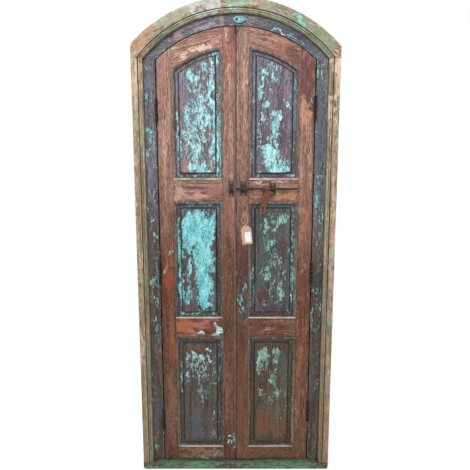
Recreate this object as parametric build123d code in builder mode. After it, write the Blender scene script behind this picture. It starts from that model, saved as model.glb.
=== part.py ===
from build123d import *
import os
from math import asin, cos, degrees, radians, sin, sqrt, tan

# An old arched double door in its frame: two framed leaves with three raised panels each, hung on
# iron butt hinges in a rebated frame with a moulded casing. A sliding iron bolt with a hasp joins the
# leaves, a small carved turn button holds their heads, and a paper tag hangs on the hasp's staple.
# Millimetres. X runs to the right as seen from the front, Y to the back and Z up. The origin is the
# middle of the sill's underside.

# Frame and casing, seen from the front
door_width = 890
door_height = 2140
left_shoulder_drop = 188
right_shoulder_drop = 197
spring_drop = 245
casing_width = 47
casing_arch_width = 60
jamb_width = 98
arch_head_reveal = 46
head_joint_x = -50
casing_joint_left_x = -60
casing_joint_right_x = 88

# Frame and casing, in depth
casing_thickness = 20
frame_depth = 70
leaf_thickness = 32
stop_gap = 2
stop_projection = 12

# Sill
sill_height = 33
sill_corner_radius = 12
sill_edge_radius = 3
sill_stop_height = 12

# Moulding along the inner edge of the casing, measured from that edge and up from the frame's face
ovolo_width = 9
ovolo_foot = 7
ovolo_top = 16
quirk_width = 1.6
quirk_floor = 13
astragal_width = 6.5
astragal_drop = 1
outer_quirk_width = 3.4
outer_quirk_slope = 1
cutter_overrun = 5

# Gaps round the leaves
side_gap = 5
head_gap = 4
sill_gap = 4
meeting_gap = 0.5

# Meeting edges: they touch almost on a narrow land and are planed back behind it, so that each leaf
# swings clear of the other
meeting_x = -3
meeting_arris = 1
meeting_land = 7
meeting_back_gap = 5

# Stiles and rails
hinge_stile_width = 65
meeting_stiles_width = 118
bottom_rail_height = 65
bottom_panel_height = 555
lower_rail_height = 92
middle_panel_height = 541
lock_rail_height = 97
top_rail_height = 77
top_panel_rise = 96
tenon_length = 32
tenon_thickness = 10
tenon_shoulder = 14
arched_tenon_height = 38
mortise_clearance = 0.2
mortise_end_gap = 1

# Panels and beads
panel_recess = 13
tongue_thickness = 8
groove_depth = 9
panel_play = 1
groove_clearance = 0.2
margin_width = 14
bevel_width = 6
field_recess = 5
field_shoulder = 2
bead_width = 12
bead_proud = 0.5
bead_flat = 3
bead_lip = 4
mitre_gap = 0.3

# Hinges
left_lower_hinge = 250
left_middle_hinge = 966
left_upper_hinge_drop = 211
right_lower_hinge = 289
right_middle_hinge = 966
right_upper_hinge_drop = 198
hinge_length = 100
flap_thickness = 2
flap_width = 26
knuckle_radius = 5
knuckle_count = 5
knuckle_gap = 0.4
barrel_clearance = 0.3
hinge_pin_radius = 2.5
hinge_pin_clearance = 0.04
hinge_pin_head_radius = 3.8
hinge_pin_head = 2.4
hinge_nail_spacing = 32
hinge_nail_zigzag = 5

# Nails
nail_shank = 3
nail_length = 24
flush_head = 6
flush_head_thickness = 1
rose_head = 8
rose_head_thickness = 2.2
casing_nail_length = 45
casing_nail_inset = 13
casing_nail_spacing = 420
# Nails round the arch, as shares of the half width
arch_nail_shares = (-0.86, -0.5, 0, 0.5, 0.86)

# Bolt, its brackets and the keeper
bolt_drop = 40
rod_radius = 4
rod_length = 272
rod_standoff = 13
rod_tip_x = 3
rod_chamfer = 1
bolt_travel = 80
bracket_thickness = 2
bracket_clearance = 0.4
keeper_clearance = 1.5
keeper_x = -20.5
keeper_width = 21
keeper_height = 68
inner_bracket_x = 33.4
inner_bracket_width = 28
inner_bracket_height = 64
outer_bracket_x = 163.6
outer_bracket_width = 29
outer_bracket_height = 54
bracket_nail_inset = 7

# Hasp and staple
hasp_thickness = 2.5
hasp_eye_width = 20
hasp_eye_wall = 2.6
hasp_eye_clearance = 0.05
hasp_end_play = 0.8
hasp_shoulder_width = 33
hasp_neck_width = 20
hasp_end_width = 28
hasp_shoulder_drop = 13
hasp_shoulder_notch = 5
hasp_neck_drop = 58
hasp_neck_share = 0.72
hasp_length = 111
hasp_lean = 18
hasp_slot_width = 8
hasp_slot_length = 27
hasp_slot_end = 9
hasp_corner_radius = 5
staple_wire_radius = 2
staple_height = 11
staple_inner = 14
staple_depth = 16

# Turn button
button_pivot_x = 3
button_pivot_height = 22
button_length = 62
button_width = 29
button_heel = 16
button_widest_share = 0.4
button_tip_slope = 0.8
button_thickness = 9
button_clearance = 0.4
button_pin_radius = 2.4
button_pin_clearance = 0.05
button_pin_head_radius = 4.5
button_pin_head = 2
button_pin_depth = 25

# Paper tag and its string
tag_width = 46
tag_length = 84
tag_thickness = 0.8
tag_tilt = 6
tag_top_shift = 4.7
tag_top_half = 11
tag_shoulder_slope = 1.1
tag_corner_radius = 4
tag_drop = 67.5
tag_hole_radius = 2.5
tag_hole_inset = 7
string_radius = 0.8
string_gap = 0.4
# Share of the shorter neighbour that each bend of the string takes up
bend_share = 0.45
# The string's route, in x and z from the middle of the staple's lower leg, which it hangs over
string_route = (
    (3.2, -67.66), (2.5, -61.5), (-7.5, -56), (-15.3, -45), (-10.5, -28), (-4.8, -11), (-3.6, 3.4),
    (3.6, 3.4), (5.6, -10.5), (11.5, -27), (15.5, -44), (12, -55.5), (5.6, -61.3), (6.2, -67.34),
)

# Depths
casing_front = -(casing_thickness + frame_depth) / 2
face = casing_front + casing_thickness
frame_back = face + frame_depth
leaf_back = face + leaf_thickness
stop_front = leaf_back + stop_gap
panel_face = face + panel_recess
panel_back = panel_face + tongue_thickness
tenon_front = face + (leaf_thickness - tenon_thickness) / 2

# Outline of the casing and of the frame's opening
spring_height = door_height - spring_drop
casing_opening = door_width - 2 * casing_width
casing_crown = door_height - casing_arch_width
frame_opening = door_width - 2 * jamb_width
frame_crown = casing_crown - arch_head_reveal

# Heights of the leaves' members
leaf_bottom = sill_height + sill_gap
bottom_panel_low = leaf_bottom + bottom_rail_height
bottom_panel_high = bottom_panel_low + bottom_panel_height
middle_panel_low = bottom_panel_high + lower_rail_height
middle_panel_high = middle_panel_low + middle_panel_height
top_panel_low = middle_panel_high + lock_rail_height

# Widths of the leaves' members, from the door's centre line
meeting_inner = meeting_stiles_width / 2
hinge_edge = frame_opening / 2 - side_gap
hinge_inner = hinge_edge - hinge_stile_width


def arch_over(half_span, foot, crown):
    """Radius and centre height of the arc that rises from foot to crown over a half span."""
    rise = crown - foot
    radius = (half_span**2 + rise**2) / (2 * rise)
    return radius, crown - radius


def uneven_arch(half_span, left_drop, right_drop, crown):
    """Radius, centre height and centre x of the arc that falls by two drops to its feet."""
    lean = right_drop - left_drop
    reach = right_drop * lean + 4 * half_span**2
    level = 2 * left_drop * half_span
    left_reach = left_drop * reach / (level + sqrt(level**2 + lean * left_drop * reach))
    radius = (left_reach**2 + left_drop**2) / (2 * left_drop)
    return radius, crown - radius, left_reach - half_span


def inside(arch, distance):
    """The same arch moved in by a distance."""
    radius, centre = arch
    return radius - distance, centre


def height_at(arch, x):
    radius, centre = arch
    return centre + sqrt(radius**2 - x**2)


outer_radius, outer_centre, outer_centre_x = uneven_arch(
    door_width / 2, left_shoulder_drop, right_shoulder_drop, door_height
)
casing_arch = arch_over(casing_opening / 2, spring_height, casing_crown)
frame_arch = arch_over(frame_opening / 2, spring_height, frame_crown)
leaf_arch = inside(frame_arch, head_gap)
stop_arch = inside(frame_arch, stop_projection)
top_panel_crown = frame_crown - head_gap - top_rail_height
panel_arch = arch_over(hinge_inner, top_panel_crown - top_panel_rise, top_panel_crown)

moulding_width = ovolo_width + quirk_width + astragal_width + outer_quirk_width

# Places of the iron on the front
rod_height = top_panel_low - bolt_drop
rod_y = face - rod_standoff
hasp_centre_x = outer_bracket_x - outer_bracket_width / 2 - hasp_eye_width / 2 - hasp_end_play
hasp_end_x = hasp_centre_x - hasp_lean
staple_x = hasp_end_x - bolt_travel
staple_z = rod_height - hasp_length + hasp_slot_end + hasp_slot_length / 2
button_z = frame_crown + button_pivot_height
hinge_x = frame_opening / 2 - side_gap / 2
hinge_y = face - barrel_clearance - knuckle_radius

SIDES = {"left": -1, "right": 1}
LEVELS = ("lower", "middle", "upper")
HINGE_HEIGHTS = {
    "left": (left_lower_hinge, left_middle_hinge, spring_height - left_upper_hinge_drop),
    "right": (right_lower_hinge, right_middle_hinge, spring_height - right_upper_hinge_drop),
}
OPENINGS = {
    "bottom": (bottom_panel_low, bottom_panel_high, None),
    "middle": (middle_panel_low, middle_panel_high, None),
    "top": (top_panel_low, None, panel_arch),
}


def upright(y):
    """Plane that faces the front at depth y, with local x to the right and local y up."""
    return Plane.XZ.offset(-y)


def save(piece, name):
    piece.part.label = name
    export_step(piece.part, f"parts/{name}.step")


def slab(y_front, y_back, mode=Mode.ADD):
    """Extrude the sketch just made, which lies at y_back, forward to y_front."""
    extrude(amount=y_back - y_front, mode=mode)


def box_face(x_low, x_high, z_low, z_high):
    with Locations(((x_low + x_high) / 2, (z_low + z_high) / 2)):
        Rectangle(abs(x_high - x_low), z_high - z_low)


def nails(plane, spots, length, head, head_thickness, mode=Mode.ADD):
    """Square forged nails. The plane holds the heads' outer faces, and the spots are local to it."""
    with BuildSketch(plane) as heads:
        with Locations(*spots):
            Rectangle(head, head)
    extrude(heads.sketch, amount=-head_thickness, mode=mode)
    with BuildSketch(plane.offset(-head_thickness)) as shanks:
        with Locations(*spots):
            Rectangle(nail_shank, nail_shank)
    extrude(shanks.sketch, amount=-length, mode=mode)


def joint_plane(arch, x):
    """Radial joint through an arch at x, facing right."""
    lean = asin(x / arch[0])
    return Plane(origin=(0, 0, arch[1]), z_dir=(cos(lean), 0, -sin(lean)))


# Nails
def casing_nails(mode=Mode.ADD):
    """Heads flush with the casing's face, up both jambs and round the arch."""
    nail_x = door_width / 2 - casing_nail_inset
    count = int((spring_height - sill_height) // casing_nail_spacing)
    start = (sill_height + spring_height - (count - 1) * casing_nail_spacing) / 2
    heights = [start + step * casing_nail_spacing for step in range(count)]
    nail_arch = inside((outer_radius, outer_centre), casing_nail_inset)
    spots = [(side * nail_x, height) for side in SIDES.values() for height in heights]
    for share in arch_nail_shares:
        x = share * door_width / 2
        spots.append((x, height_at(nail_arch, x - outer_centre_x)))
    nails(upright(casing_front), spots, casing_nail_length, flush_head, flush_head_thickness, mode)


def hinge_nails(side, on_jamb, mode=Mode.ADD):
    """Heads flush with the flaps, facing across the gap."""
    sign = SIDES[side]
    plate_x = frame_opening / 2 - flap_thickness if on_jamb else hinge_edge + flap_thickness
    facing = -sign if on_jamb else sign
    middle = face + barrel_clearance + flap_width / 2
    spots = []
    for height in HINGE_HEIGHTS[side]:
        for step in (-1, 0, 1):
            z = height + step * hinge_nail_spacing
            spots.append((middle + hinge_nail_zigzag * abs(step), facing * z))
    plane = Plane(origin=(sign * plate_x, 0, 0), x_dir=(0, 1, 0), z_dir=(facing, 0, 0))
    nails(plane, spots, nail_length, flush_head, flush_head_thickness, mode)


def bracket_nails(places, mode=Mode.ADD):
    """One rose head above the rod and one below, for each bracket."""
    spots = []
    for x, height in places:
        for end in (-1, 1):
            spots.append((x, rod_height + end * (height / 2 - bracket_nail_inset)))
    plane = upright(face - bracket_thickness - rose_head_thickness)
    nails(plane, spots, nail_length, rose_head, rose_head_thickness, mode)


# Middle and height of the brackets on each leaf
BRACKETS = {
    "left": ((keeper_x, keeper_height),),
    "right": (
        (inner_bracket_x, inner_bracket_height), (outer_bracket_x, outer_bracket_height),
    ),
}


# Sill, with the stop that the leaves close against
def make_sill():
    with BuildPart() as sill:
        with BuildSketch(upright(frame_back)):
            box_face(-door_width / 2, door_width / 2, 0, sill_height)
        slab(casing_front, frame_back)
        corners = sill.edges().filter_by(Axis.Y).group_by(Axis.Z)[0]
        fillet(corners, sill_corner_radius)
        fillet(sill.edges().filter_by(Axis.X).group_by(Axis.Y)[0].sort_by(Axis.Z)[-1], sill_edge_radius)
        with BuildSketch(upright(frame_back)):
            stop_x = frame_opening / 2 - stop_projection
            box_face(-stop_x, stop_x, sill_height, sill_height + sill_stop_height)
        slab(stop_front, frame_back)
    save(sill, "sill")


# Jambs, rebated for the leaves
def make_jamb(side):
    sign = SIDES[side]
    outside = sign * door_width / 2
    reveal = sign * frame_opening / 2
    stop = reveal - sign * stop_projection
    with BuildPart() as jamb:
        with BuildSketch(Plane.XY.offset(sill_height)):
            with BuildLine():
                Polyline(
                    (outside, face), (reveal, face), (reveal, stop_front), (stop, stop_front),
                    (stop, frame_back), (outside, frame_back), (outside, face),
                )
            make_face()
        extrude(amount=spring_height - sill_height)
        hinge_nails(side, True, Mode.SUBTRACT)
        casing_nails(Mode.SUBTRACT)
    save(jamb, f"jamb_{side}")


def head_face(inner_arch):
    """Outline between the frame's outer edge and an inner arch, down to the springing line."""
    half = door_width / 2
    left_shoulder = (-half, door_height - left_shoulder_drop)
    right_shoulder = (half, door_height - right_shoulder_drop)
    radius, centre = inner_arch
    foot = sqrt(radius**2 - (spring_height - centre) ** 2)
    with BuildSketch() as outline:
        with BuildLine():
            Polyline((foot, spring_height), (half, spring_height), right_shoulder)
            ThreePointArc(right_shoulder, (outer_centre_x, door_height), left_shoulder)
            Polyline(left_shoulder, (-half, spring_height), (-foot, spring_height))
            ThreePointArc((-foot, spring_height), (0, radius + centre), (foot, spring_height))
        make_face()
    return outline.sketch


# Arched head of the frame, in two pieces that meet on a radial joint
def make_arch_head(name, keep):
    with BuildPart() as head:
        with BuildSketch(upright(stop_front)):
            add(head_face(frame_arch))
        slab(face, stop_front)
        with BuildSketch(upright(frame_back)):
            add(head_face(stop_arch))
        slab(stop_front, frame_back)
        casing_nails(Mode.SUBTRACT)
        with Locations(Plane(origin=(button_pivot_x, face, button_z), z_dir=(0, -1, 0))):
            Cylinder(button_pin_radius, 2 * button_pin_depth, mode=Mode.SUBTRACT)
        split(bisect_by=joint_plane(frame_arch, head_joint_x), keep=keep)
    save(head, name)


def moulding_waste():
    """What the moulding plane takes off: local x from the inner edge, local y up from the face."""
    clear = casing_thickness + cutter_overrun
    bead_start = ovolo_width + quirk_width
    bead_end = bead_start + astragal_width
    bead_crown = ((bead_start + bead_end) / 2, casing_thickness - astragal_drop)
    bulge = sin(radians(45))
    ovolo_middle = (ovolo_width * (1 - bulge), ovolo_foot + (ovolo_top - ovolo_foot) * bulge)
    with BuildSketch() as outline:
        with BuildLine():
            Polyline(
                (0, clear), (-cutter_overrun, clear), (-cutter_overrun, ovolo_foot), (0, ovolo_foot),
            )
            ThreePointArc((0, ovolo_foot), ovolo_middle, (ovolo_width, ovolo_top))
            Polyline((ovolo_width, ovolo_top), (ovolo_width, quirk_floor), (bead_start, quirk_floor))
            ThreePointArc((bead_start, quirk_floor), bead_crown, (bead_end, quirk_floor))
            Polyline(
                (bead_end, quirk_floor), (moulding_width - outer_quirk_slope, quirk_floor),
                (moulding_width, casing_thickness), (moulding_width, clear), (0, clear),
            )
        make_face()
    return outline.sketch


# Casing of a jamb, planted on the frame
def make_casing(side):
    sign = SIDES[side]
    inner = sign * casing_opening / 2
    with BuildPart() as casing:
        with BuildSketch(upright(face)):
            box_face(inner, sign * door_width / 2, sill_height, spring_height)
        slab(casing_front, face)
        with BuildSketch(Plane(origin=(inner, face, 0), x_dir=(sign, 0, 0), z_dir=(0, 0, -sign))):
            add(moulding_waste())
        extrude(amount=door_height, dir=(0, 0, 1), mode=Mode.SUBTRACT)
        casing_nails(Mode.SUBTRACT)
    save(casing, f"casing_{side}")


# Arched casing, in three pieces
def make_casing_arch(name, cuts):
    radius, centre = casing_arch
    # the cutter starts and ends well below the springing line
    start = asin(casing_opening / 2 / radius) + radians(12)
    outward = (sin(start), 0, cos(start))
    begin = Plane(
        origin=(radius * sin(start), face, centre + radius * cos(start)),
        x_dir=outward,
        z_dir=(cos(start), 0, -sin(start)),
    )
    with BuildPart() as casing:
        with BuildSketch(upright(face)):
            add(head_face(casing_arch))
        slab(casing_front, face)
        with BuildSketch(begin):
            add(moulding_waste())
        centre_line = Axis((0, 0, centre), (0, -1, 0))
        revolve(axis=centre_line, revolution_arc=2 * degrees(start), mode=Mode.SUBTRACT)
        casing_nails(Mode.SUBTRACT)
        for x, keep in cuts:
            split(bisect_by=joint_plane(casing_arch, x), keep=keep)
    save(casing, name)


def under_arch(x_a, x_b, z_low, arch):
    """Outline between two upright edges, from a level foot up to an arch."""
    x_mid = (x_a + x_b) / 2
    tops = [(x, height_at(arch, x)) for x in (x_a, x_mid, x_b)]
    with BuildSketch() as outline:
        with BuildLine():
            Polyline(tops[0], (x_a, z_low), (x_b, z_low), tops[2])
            ThreePointArc(tops[2], tops[1], tops[0])
        make_face()
    return outline.sketch


def opening_corners(side, name, inset):
    """Corners of a panel opening moved in by inset, from bottom left and anticlockwise."""
    low, high, arch = OPENINGS[name]
    sign = SIDES[side]
    x_low, x_high = sorted((sign * (meeting_inner + inset), sign * (hinge_inner - inset)))
    if arch is None:
        tops = (high - inset, high - inset)
    else:
        tops = [height_at(inside(arch, inset), x) for x in (x_high, x_low)]
    return [(x_low, low + inset), (x_high, low + inset), (x_high, tops[0]), (x_low, tops[1])]


def opening_face(side, name, inset):
    """Outline of a panel opening moved in by inset; a negative inset makes it larger."""
    corners = opening_corners(side, name, inset)
    arch = OPENINGS[name][2]
    if arch is not None:
        return under_arch(corners[3][0], corners[2][0], corners[0][1], inside(arch, inset))
    with BuildSketch() as outline:
        with BuildLine():
            Polyline(*corners, corners[0])
        make_face()
    return outline.sketch


def grooves(side):
    """Grooves for the panels' tongues, cut round the three openings."""
    with BuildSketch(upright(panel_back + groove_clearance)) as outline:
        for name in OPENINGS:
            add(opening_face(side, name, -groove_depth))
    extrude(outline.sketch, amount=tongue_thickness + 2 * groove_clearance, mode=Mode.SUBTRACT)


def tenon_heights(level):
    """Lower and upper edge of a rail's tenon at the meeting stile and at the hinge stile."""
    rails = {
        "bottom": (leaf_bottom, bottom_panel_low),
        "lower": (bottom_panel_high, middle_panel_low),
        "lock": (middle_panel_high, top_panel_low),
    }
    if level in rails:
        low, high = rails[level]
        span = (low + tenon_shoulder, high - tenon_shoulder)
        return span, span
    at_meeting = height_at(panel_arch, meeting_inner) + tenon_shoulder
    at_hinge = height_at(panel_arch, hinge_inner) + tenon_shoulder
    return (at_meeting, at_meeting + arched_tenon_height), (at_hinge, at_hinge + arched_tenon_height)


def tenon_faces(side, level, grow, at_meeting=True, at_hinge=True):
    """Outline of a rail's tenons, or of their mortises where grow is more than nothing."""
    sign = SIDES[side]
    meeting_span, hinge_span = tenon_heights(level)
    reach = tenon_length + (mortise_end_gap if grow else 0)
    if at_meeting:
        low, high = meeting_span
        box_face(sign * (meeting_inner - reach), sign * meeting_inner, low - grow, high + grow)
    if at_hinge:
        low, high = hinge_span
        box_face(sign * hinge_inner, sign * (hinge_inner + reach), low - grow, high + grow)


RAILS = ("bottom", "lower", "lock", "top")


def ease_meeting_edge(side):
    """Take off the front arris and plane back the edge behind its land."""
    sign = SIDES[side]
    edge = meeting_x + sign * meeting_gap / 2
    back_edge = meeting_x + sign * meeting_back_gap / 2
    arris = ((edge, face), (edge + sign * meeting_arris, face), (edge, face + meeting_arris))
    bevel = ((edge, face + meeting_land), (back_edge, leaf_back), (edge, leaf_back))
    with BuildSketch() as waste:
        for corners in (arris, bevel):
            with BuildLine():
                Polyline(*corners, corners[0])
            make_face()
    extrude(waste.sketch, amount=door_height, mode=Mode.SUBTRACT)


# Stiles
def make_stile(side, name):
    sign = SIDES[side]
    at_hinge = name == "hinge_stile"
    outer = sign * hinge_edge if at_hinge else meeting_x + sign * meeting_gap / 2
    inner = sign * (hinge_inner if at_hinge else meeting_inner)
    with BuildPart() as stile:
        with BuildSketch(upright(leaf_back)):
            add(under_arch(outer, inner, leaf_bottom, leaf_arch))
        slab(face, leaf_back)
        grooves(side)
        with BuildSketch(upright(tenon_front + tenon_thickness + mortise_clearance)):
            for rail in RAILS:
                tenon_faces(side, rail, mortise_clearance, not at_hinge, at_hinge)
        slab(0, tenon_thickness + 2 * mortise_clearance, mode=Mode.SUBTRACT)
        if at_hinge:
            hinge_nails(side, False, Mode.SUBTRACT)
        else:
            ease_meeting_edge(side)
            bracket_nails(BRACKETS[side], Mode.SUBTRACT)
            if side == "right":
                for leg_z in staple_leg_heights():
                    with Locations(Plane(origin=(staple_x, face, leg_z), z_dir=(0, -1, 0))):
                        Cylinder(staple_wire_radius, 2 * staple_depth, mode=Mode.SUBTRACT)
    save(stile, f"{side}_{name}")


# Rails, tenoned into the stiles
def make_rail(side, level):
    sign = SIDES[side]
    with BuildPart() as rail:
        with BuildSketch(upright(leaf_back)):
            if level == "top":
                edges = (sign * meeting_inner, sign * hinge_inner)
                add(under_arch(*edges, top_panel_low, leaf_arch))
                add(under_arch(*edges, top_panel_low, panel_arch), mode=Mode.SUBTRACT)
            else:
                meeting_span, _ = tenon_heights(level)
                low, high = meeting_span[0] - tenon_shoulder, meeting_span[1] + tenon_shoulder
                box_face(sign * meeting_inner, sign * hinge_inner, low, high)
        slab(face, leaf_back)
        grooves(side)
        with BuildSketch(upright(tenon_front + tenon_thickness)):
            tenon_faces(side, level, 0)
        slab(tenon_front, tenon_front + tenon_thickness)
        if side == "right" and level == "lock":
            bracket_nails(BRACKETS[side], Mode.SUBTRACT)
    save(rail, f"{side}_{level}_rail")


# Raised and fielded panels, loose in their grooves
def make_panel(side, name):
    with BuildPart() as panel:
        with BuildSketch(upright(panel_back)):
            add(opening_face(side, name, panel_play - groove_depth))
        slab(panel_face, panel_back)
        bevel_start = bead_width + margin_width
        bevel_top = face + field_recess + field_shoulder
        with BuildSketch(upright(panel_face)):
            add(opening_face(side, name, bevel_start))
        with BuildSketch(upright(bevel_top)):
            add(opening_face(side, name, bevel_start + bevel_width))
        loft(ruled=True)
        with BuildSketch(upright(bevel_top)):
            add(opening_face(side, name, bevel_start + bevel_width))
        slab(face + field_recess, bevel_top)
    save(panel, f"{side}_{name}_panel")


def bead_section():
    """Section of a bead: local x in from the edge of the opening, local y forward from the panel."""
    depth = panel_recess + bead_proud
    bulge = sin(radians(45))
    round_width = bead_width - bead_flat
    round_height = depth - bead_lip
    middle = (bead_flat + round_width * bulge, bead_lip + round_height * bulge)
    with BuildSketch() as outline:
        with BuildLine():
            Polyline((bead_flat, depth), (0, depth), (0, 0), (bead_width, 0), (bead_width, bead_lip))
            ThreePointArc((bead_width, bead_lip), middle, (bead_flat, depth))
        make_face()
    return outline.sketch


def mitre(outer, inner, towards):
    """Upright plane by a corner of the bead, facing the run that is kept, half a mitre gap in."""
    across = Vector(inner[1] - outer[1], 0, outer[0] - inner[0]).normalized()
    if across.dot(Vector(towards[0] - outer[0], 0, towards[1] - outer[1])) < 0:
        across = -across
    return Plane(origin=Vector(outer[0], 0, outer[1]) + across * (mitre_gap / 2), z_dir=across)


def bead_run(side, name, step):
    """One mitred run of a bead, from a corner of its opening to the next."""
    outer = opening_corners(side, name, 0)
    inner = opening_corners(side, name, bead_width)
    begin, end = outer[step], outer[(step + 1) % 4]
    arch = OPENINGS[name][2]
    arched = arch is not None and step == 2
    if arched:
        radius, centre = arch
        along = (centre - begin[1], begin[0])
        angles = [asin(point[0] / radius) for point in (begin, end)]
        half_way = sum(angles) / 2
        middle = (radius * sin(half_way), centre + radius * cos(half_way))
    else:
        along = (end[0] - begin[0], end[1] - begin[1])
        middle = ((begin[0] + end[0]) / 2, (begin[1] + end[1]) / 2)
    start = Plane(
        origin=(begin[0], panel_face, begin[1]),
        x_dir=(-along[1], 0, along[0]),
        z_dir=(along[0], 0, along[1]),
    )
    with BuildPart() as run:
        with BuildSketch(start):
            add(bead_section())
        if arched:
            turn = degrees(angles[0] - angles[1])
            revolve(axis=Axis((0, 0, centre), (0, -1, 0)), revolution_arc=turn)
        else:
            extrude(amount=sqrt(along[0] ** 2 + along[1] ** 2))
        split(bisect_by=mitre(begin, inner[step], middle), keep=Keep.TOP)
        split(bisect_by=mitre(end, inner[(step + 1) % 4], middle), keep=Keep.TOP)
    return run.part


# Beads planted round the panels
def make_bead(side, name):
    runs = [bead_run(side, name, step) for step in range(4)]
    with BuildPart() as bead:
        add(runs)
    save(bead, f"{side}_{name}_bead")


# Hinge flaps with their knuckles
def make_flap(side, level, on_jamb):
    sign = SIDES[side]
    height = HINGE_HEIGHTS[side][LEVELS.index(level)]
    low = height - hinge_length / 2
    pitch = hinge_length / knuckle_count
    if on_jamb:
        plate = (frame_opening / 2 - flap_thickness, frame_opening / 2)
    else:
        plate = (hinge_edge, hinge_edge + flap_thickness)
    plate_front = face + barrel_clearance
    with BuildPart() as flap:
        with BuildSketch(upright(plate_front + flap_width)):
            box_face(sign * plate[0], sign * plate[1], low, low + hinge_length)
        slab(plate_front, plate_front + flap_width)
        for step in range(0 if on_jamb else 1, knuckle_count, 2):
            trim_low = 0 if step == 0 else knuckle_gap / 2
            trim_high = 0 if step == knuckle_count - 1 else knuckle_gap / 2
            bottom = low + step * pitch + trim_low
            top = low + (step + 1) * pitch - trim_high
            with BuildSketch(upright(plate_front)):
                box_face(sign * plate[0], sign * plate[1], bottom, top)
            slab(hinge_y, plate_front)
            with BuildSketch(Plane.XY.offset(bottom)):
                with Locations((sign * hinge_x, hinge_y)):
                    Circle(knuckle_radius)
            extrude(amount=top - bottom)
        with Locations((sign * hinge_x, hinge_y, height)):
            Cylinder(hinge_pin_radius + hinge_pin_clearance, 2 * hinge_length, mode=Mode.SUBTRACT)
        hinge_nails(side, on_jamb, Mode.SUBTRACT)
    save(flap, f"{side}_hinge_{level}_{'jamb' if on_jamb else 'leaf'}_flap")


# Hinge pins, with a round head above and below the barrel
def make_hinge_pins():
    with BuildPart() as pins:
        for side, sign in SIDES.items():
            for height in HINGE_HEIGHTS[side]:
                low = height - hinge_length / 2
                high = height + hinge_length / 2
                with Locations((sign * hinge_x, hinge_y, height)):
                    Cylinder(hinge_pin_radius, hinge_length)
                for bottom in (low - hinge_pin_head, high):
                    with Locations((sign * hinge_x, hinge_y, bottom)):
                        Cylinder(
                            hinge_pin_head_radius, hinge_pin_head,
                            align=(Align.CENTER, Align.CENTER, Align.MIN),
                        )
    save(pins, "hinge_pins")


# Nails, one group for the frame and one for each leaf
def make_nails():
    with BuildPart() as frame_nails:
        for side in SIDES:
            hinge_nails(side, True)
        casing_nails()
    save(frame_nails, "frame_nails")
    for side in SIDES:
        with BuildPart() as leaf_nails:
            hinge_nails(side, False)
            bracket_nails(BRACKETS[side])
        save(leaf_nails, f"{side}_leaf_nails")


# Straps that hold the bolt to the leaves
def make_bracket(name, x, width, height, clearance):
    inner = rod_radius + clearance
    outer = inner + bracket_thickness
    foot = height / 2
    with BuildPart() as bracket:
        # local x is the height above the rod and local y the distance out from the leaf's face
        section = Plane(origin=(x - width / 2, face, rod_height), x_dir=(0, 0, 1), z_dir=(1, 0, 0))
        with BuildSketch(section):
            with BuildLine():
                Polyline(
                    (-inner, 0), (-foot, 0), (-foot, bracket_thickness), (-outer, bracket_thickness),
                    (-outer, rod_standoff),
                )
                ThreePointArc((-outer, rod_standoff), (0, rod_standoff + outer), (outer, rod_standoff))
                Polyline(
                    (outer, rod_standoff), (outer, bracket_thickness), (foot, bracket_thickness),
                    (foot, 0), (inner, 0), (inner, rod_standoff),
                )
                ThreePointArc((inner, rod_standoff), (0, rod_standoff + inner), (-inner, rod_standoff))
                Line((-inner, rod_standoff), (-inner, 0))
            make_face()
        extrude(amount=width)
        bracket_nails([(x, height)], Mode.SUBTRACT)
    save(bracket, name)


# Sliding rod of the bolt, drawn back
def make_rod():
    with BuildPart() as rod:
        with BuildSketch(Plane(origin=(rod_tip_x, rod_y, rod_height), z_dir=(1, 0, 0))):
            Circle(rod_radius)
        extrude(amount=rod_length)
        chamfer(rod.edges().filter_by(GeomType.CIRCLE), rod_chamfer)
    save(rod, "bolt_rod")


# Hasp, curled round the rod and slotted for the staple
def make_hasp():
    back = rod_y + hasp_thickness / 2
    x, end_x = hasp_centre_x, hasp_end_x
    shoulder_x = x + (hasp_shoulder_width - hasp_eye_width) / 2
    neck_x = x - hasp_lean * hasp_neck_share
    shoulder_z = rod_height - hasp_shoulder_drop
    neck_z = rod_height - hasp_neck_drop
    end_z = rod_height - hasp_length
    slot_low = end_z + hasp_slot_end
    eye_radius = rod_radius + hasp_eye_clearance
    with BuildPart() as hasp:
        with BuildSketch(upright(back)):
            with BuildLine():
                Polyline(
                    (x - hasp_eye_width / 2, rod_height), (x - hasp_eye_width / 2, shoulder_z),
                    (neck_x - hasp_neck_width / 2, neck_z),
                    (end_x - hasp_end_width / 2, slot_low + hasp_slot_length / 2),
                    (end_x - hasp_end_width / 2, end_z), (end_x + hasp_end_width / 2, end_z),
                    (end_x + hasp_end_width / 2, slot_low + hasp_slot_length / 2),
                    (neck_x + hasp_neck_width / 2, neck_z),
                    (shoulder_x + hasp_shoulder_width / 2, shoulder_z),
                    (x + hasp_eye_width / 2, shoulder_z + hasp_shoulder_notch),
                    (x + hasp_eye_width / 2, rod_height),
                    (x - hasp_eye_width / 2, rod_height),
                )
            make_face()
            with Locations((end_x, slot_low + hasp_slot_length / 2)):
                SlotOverall(hasp_slot_length, hasp_slot_width, rotation=90, mode=Mode.SUBTRACT)
        slab(back - hasp_thickness, back)
        fillet(hasp.edges().filter_by(Axis.Y).group_by(Axis.Z)[0], hasp_corner_radius)
        with BuildSketch(Plane(origin=(x - hasp_eye_width / 2, rod_y, rod_height), z_dir=(1, 0, 0))):
            Circle(eye_radius + hasp_eye_wall)
        extrude(amount=hasp_eye_width)
        with BuildSketch(Plane(origin=(x - hasp_eye_width, rod_y, rod_height), z_dir=(1, 0, 0))):
            Circle(eye_radius)
        extrude(amount=2 * hasp_eye_width, mode=Mode.SUBTRACT)
    save(hasp, "hasp")


def staple_leg_heights():
    reach = staple_inner / 2 + staple_wire_radius
    return staple_z - reach, staple_z + reach


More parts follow.
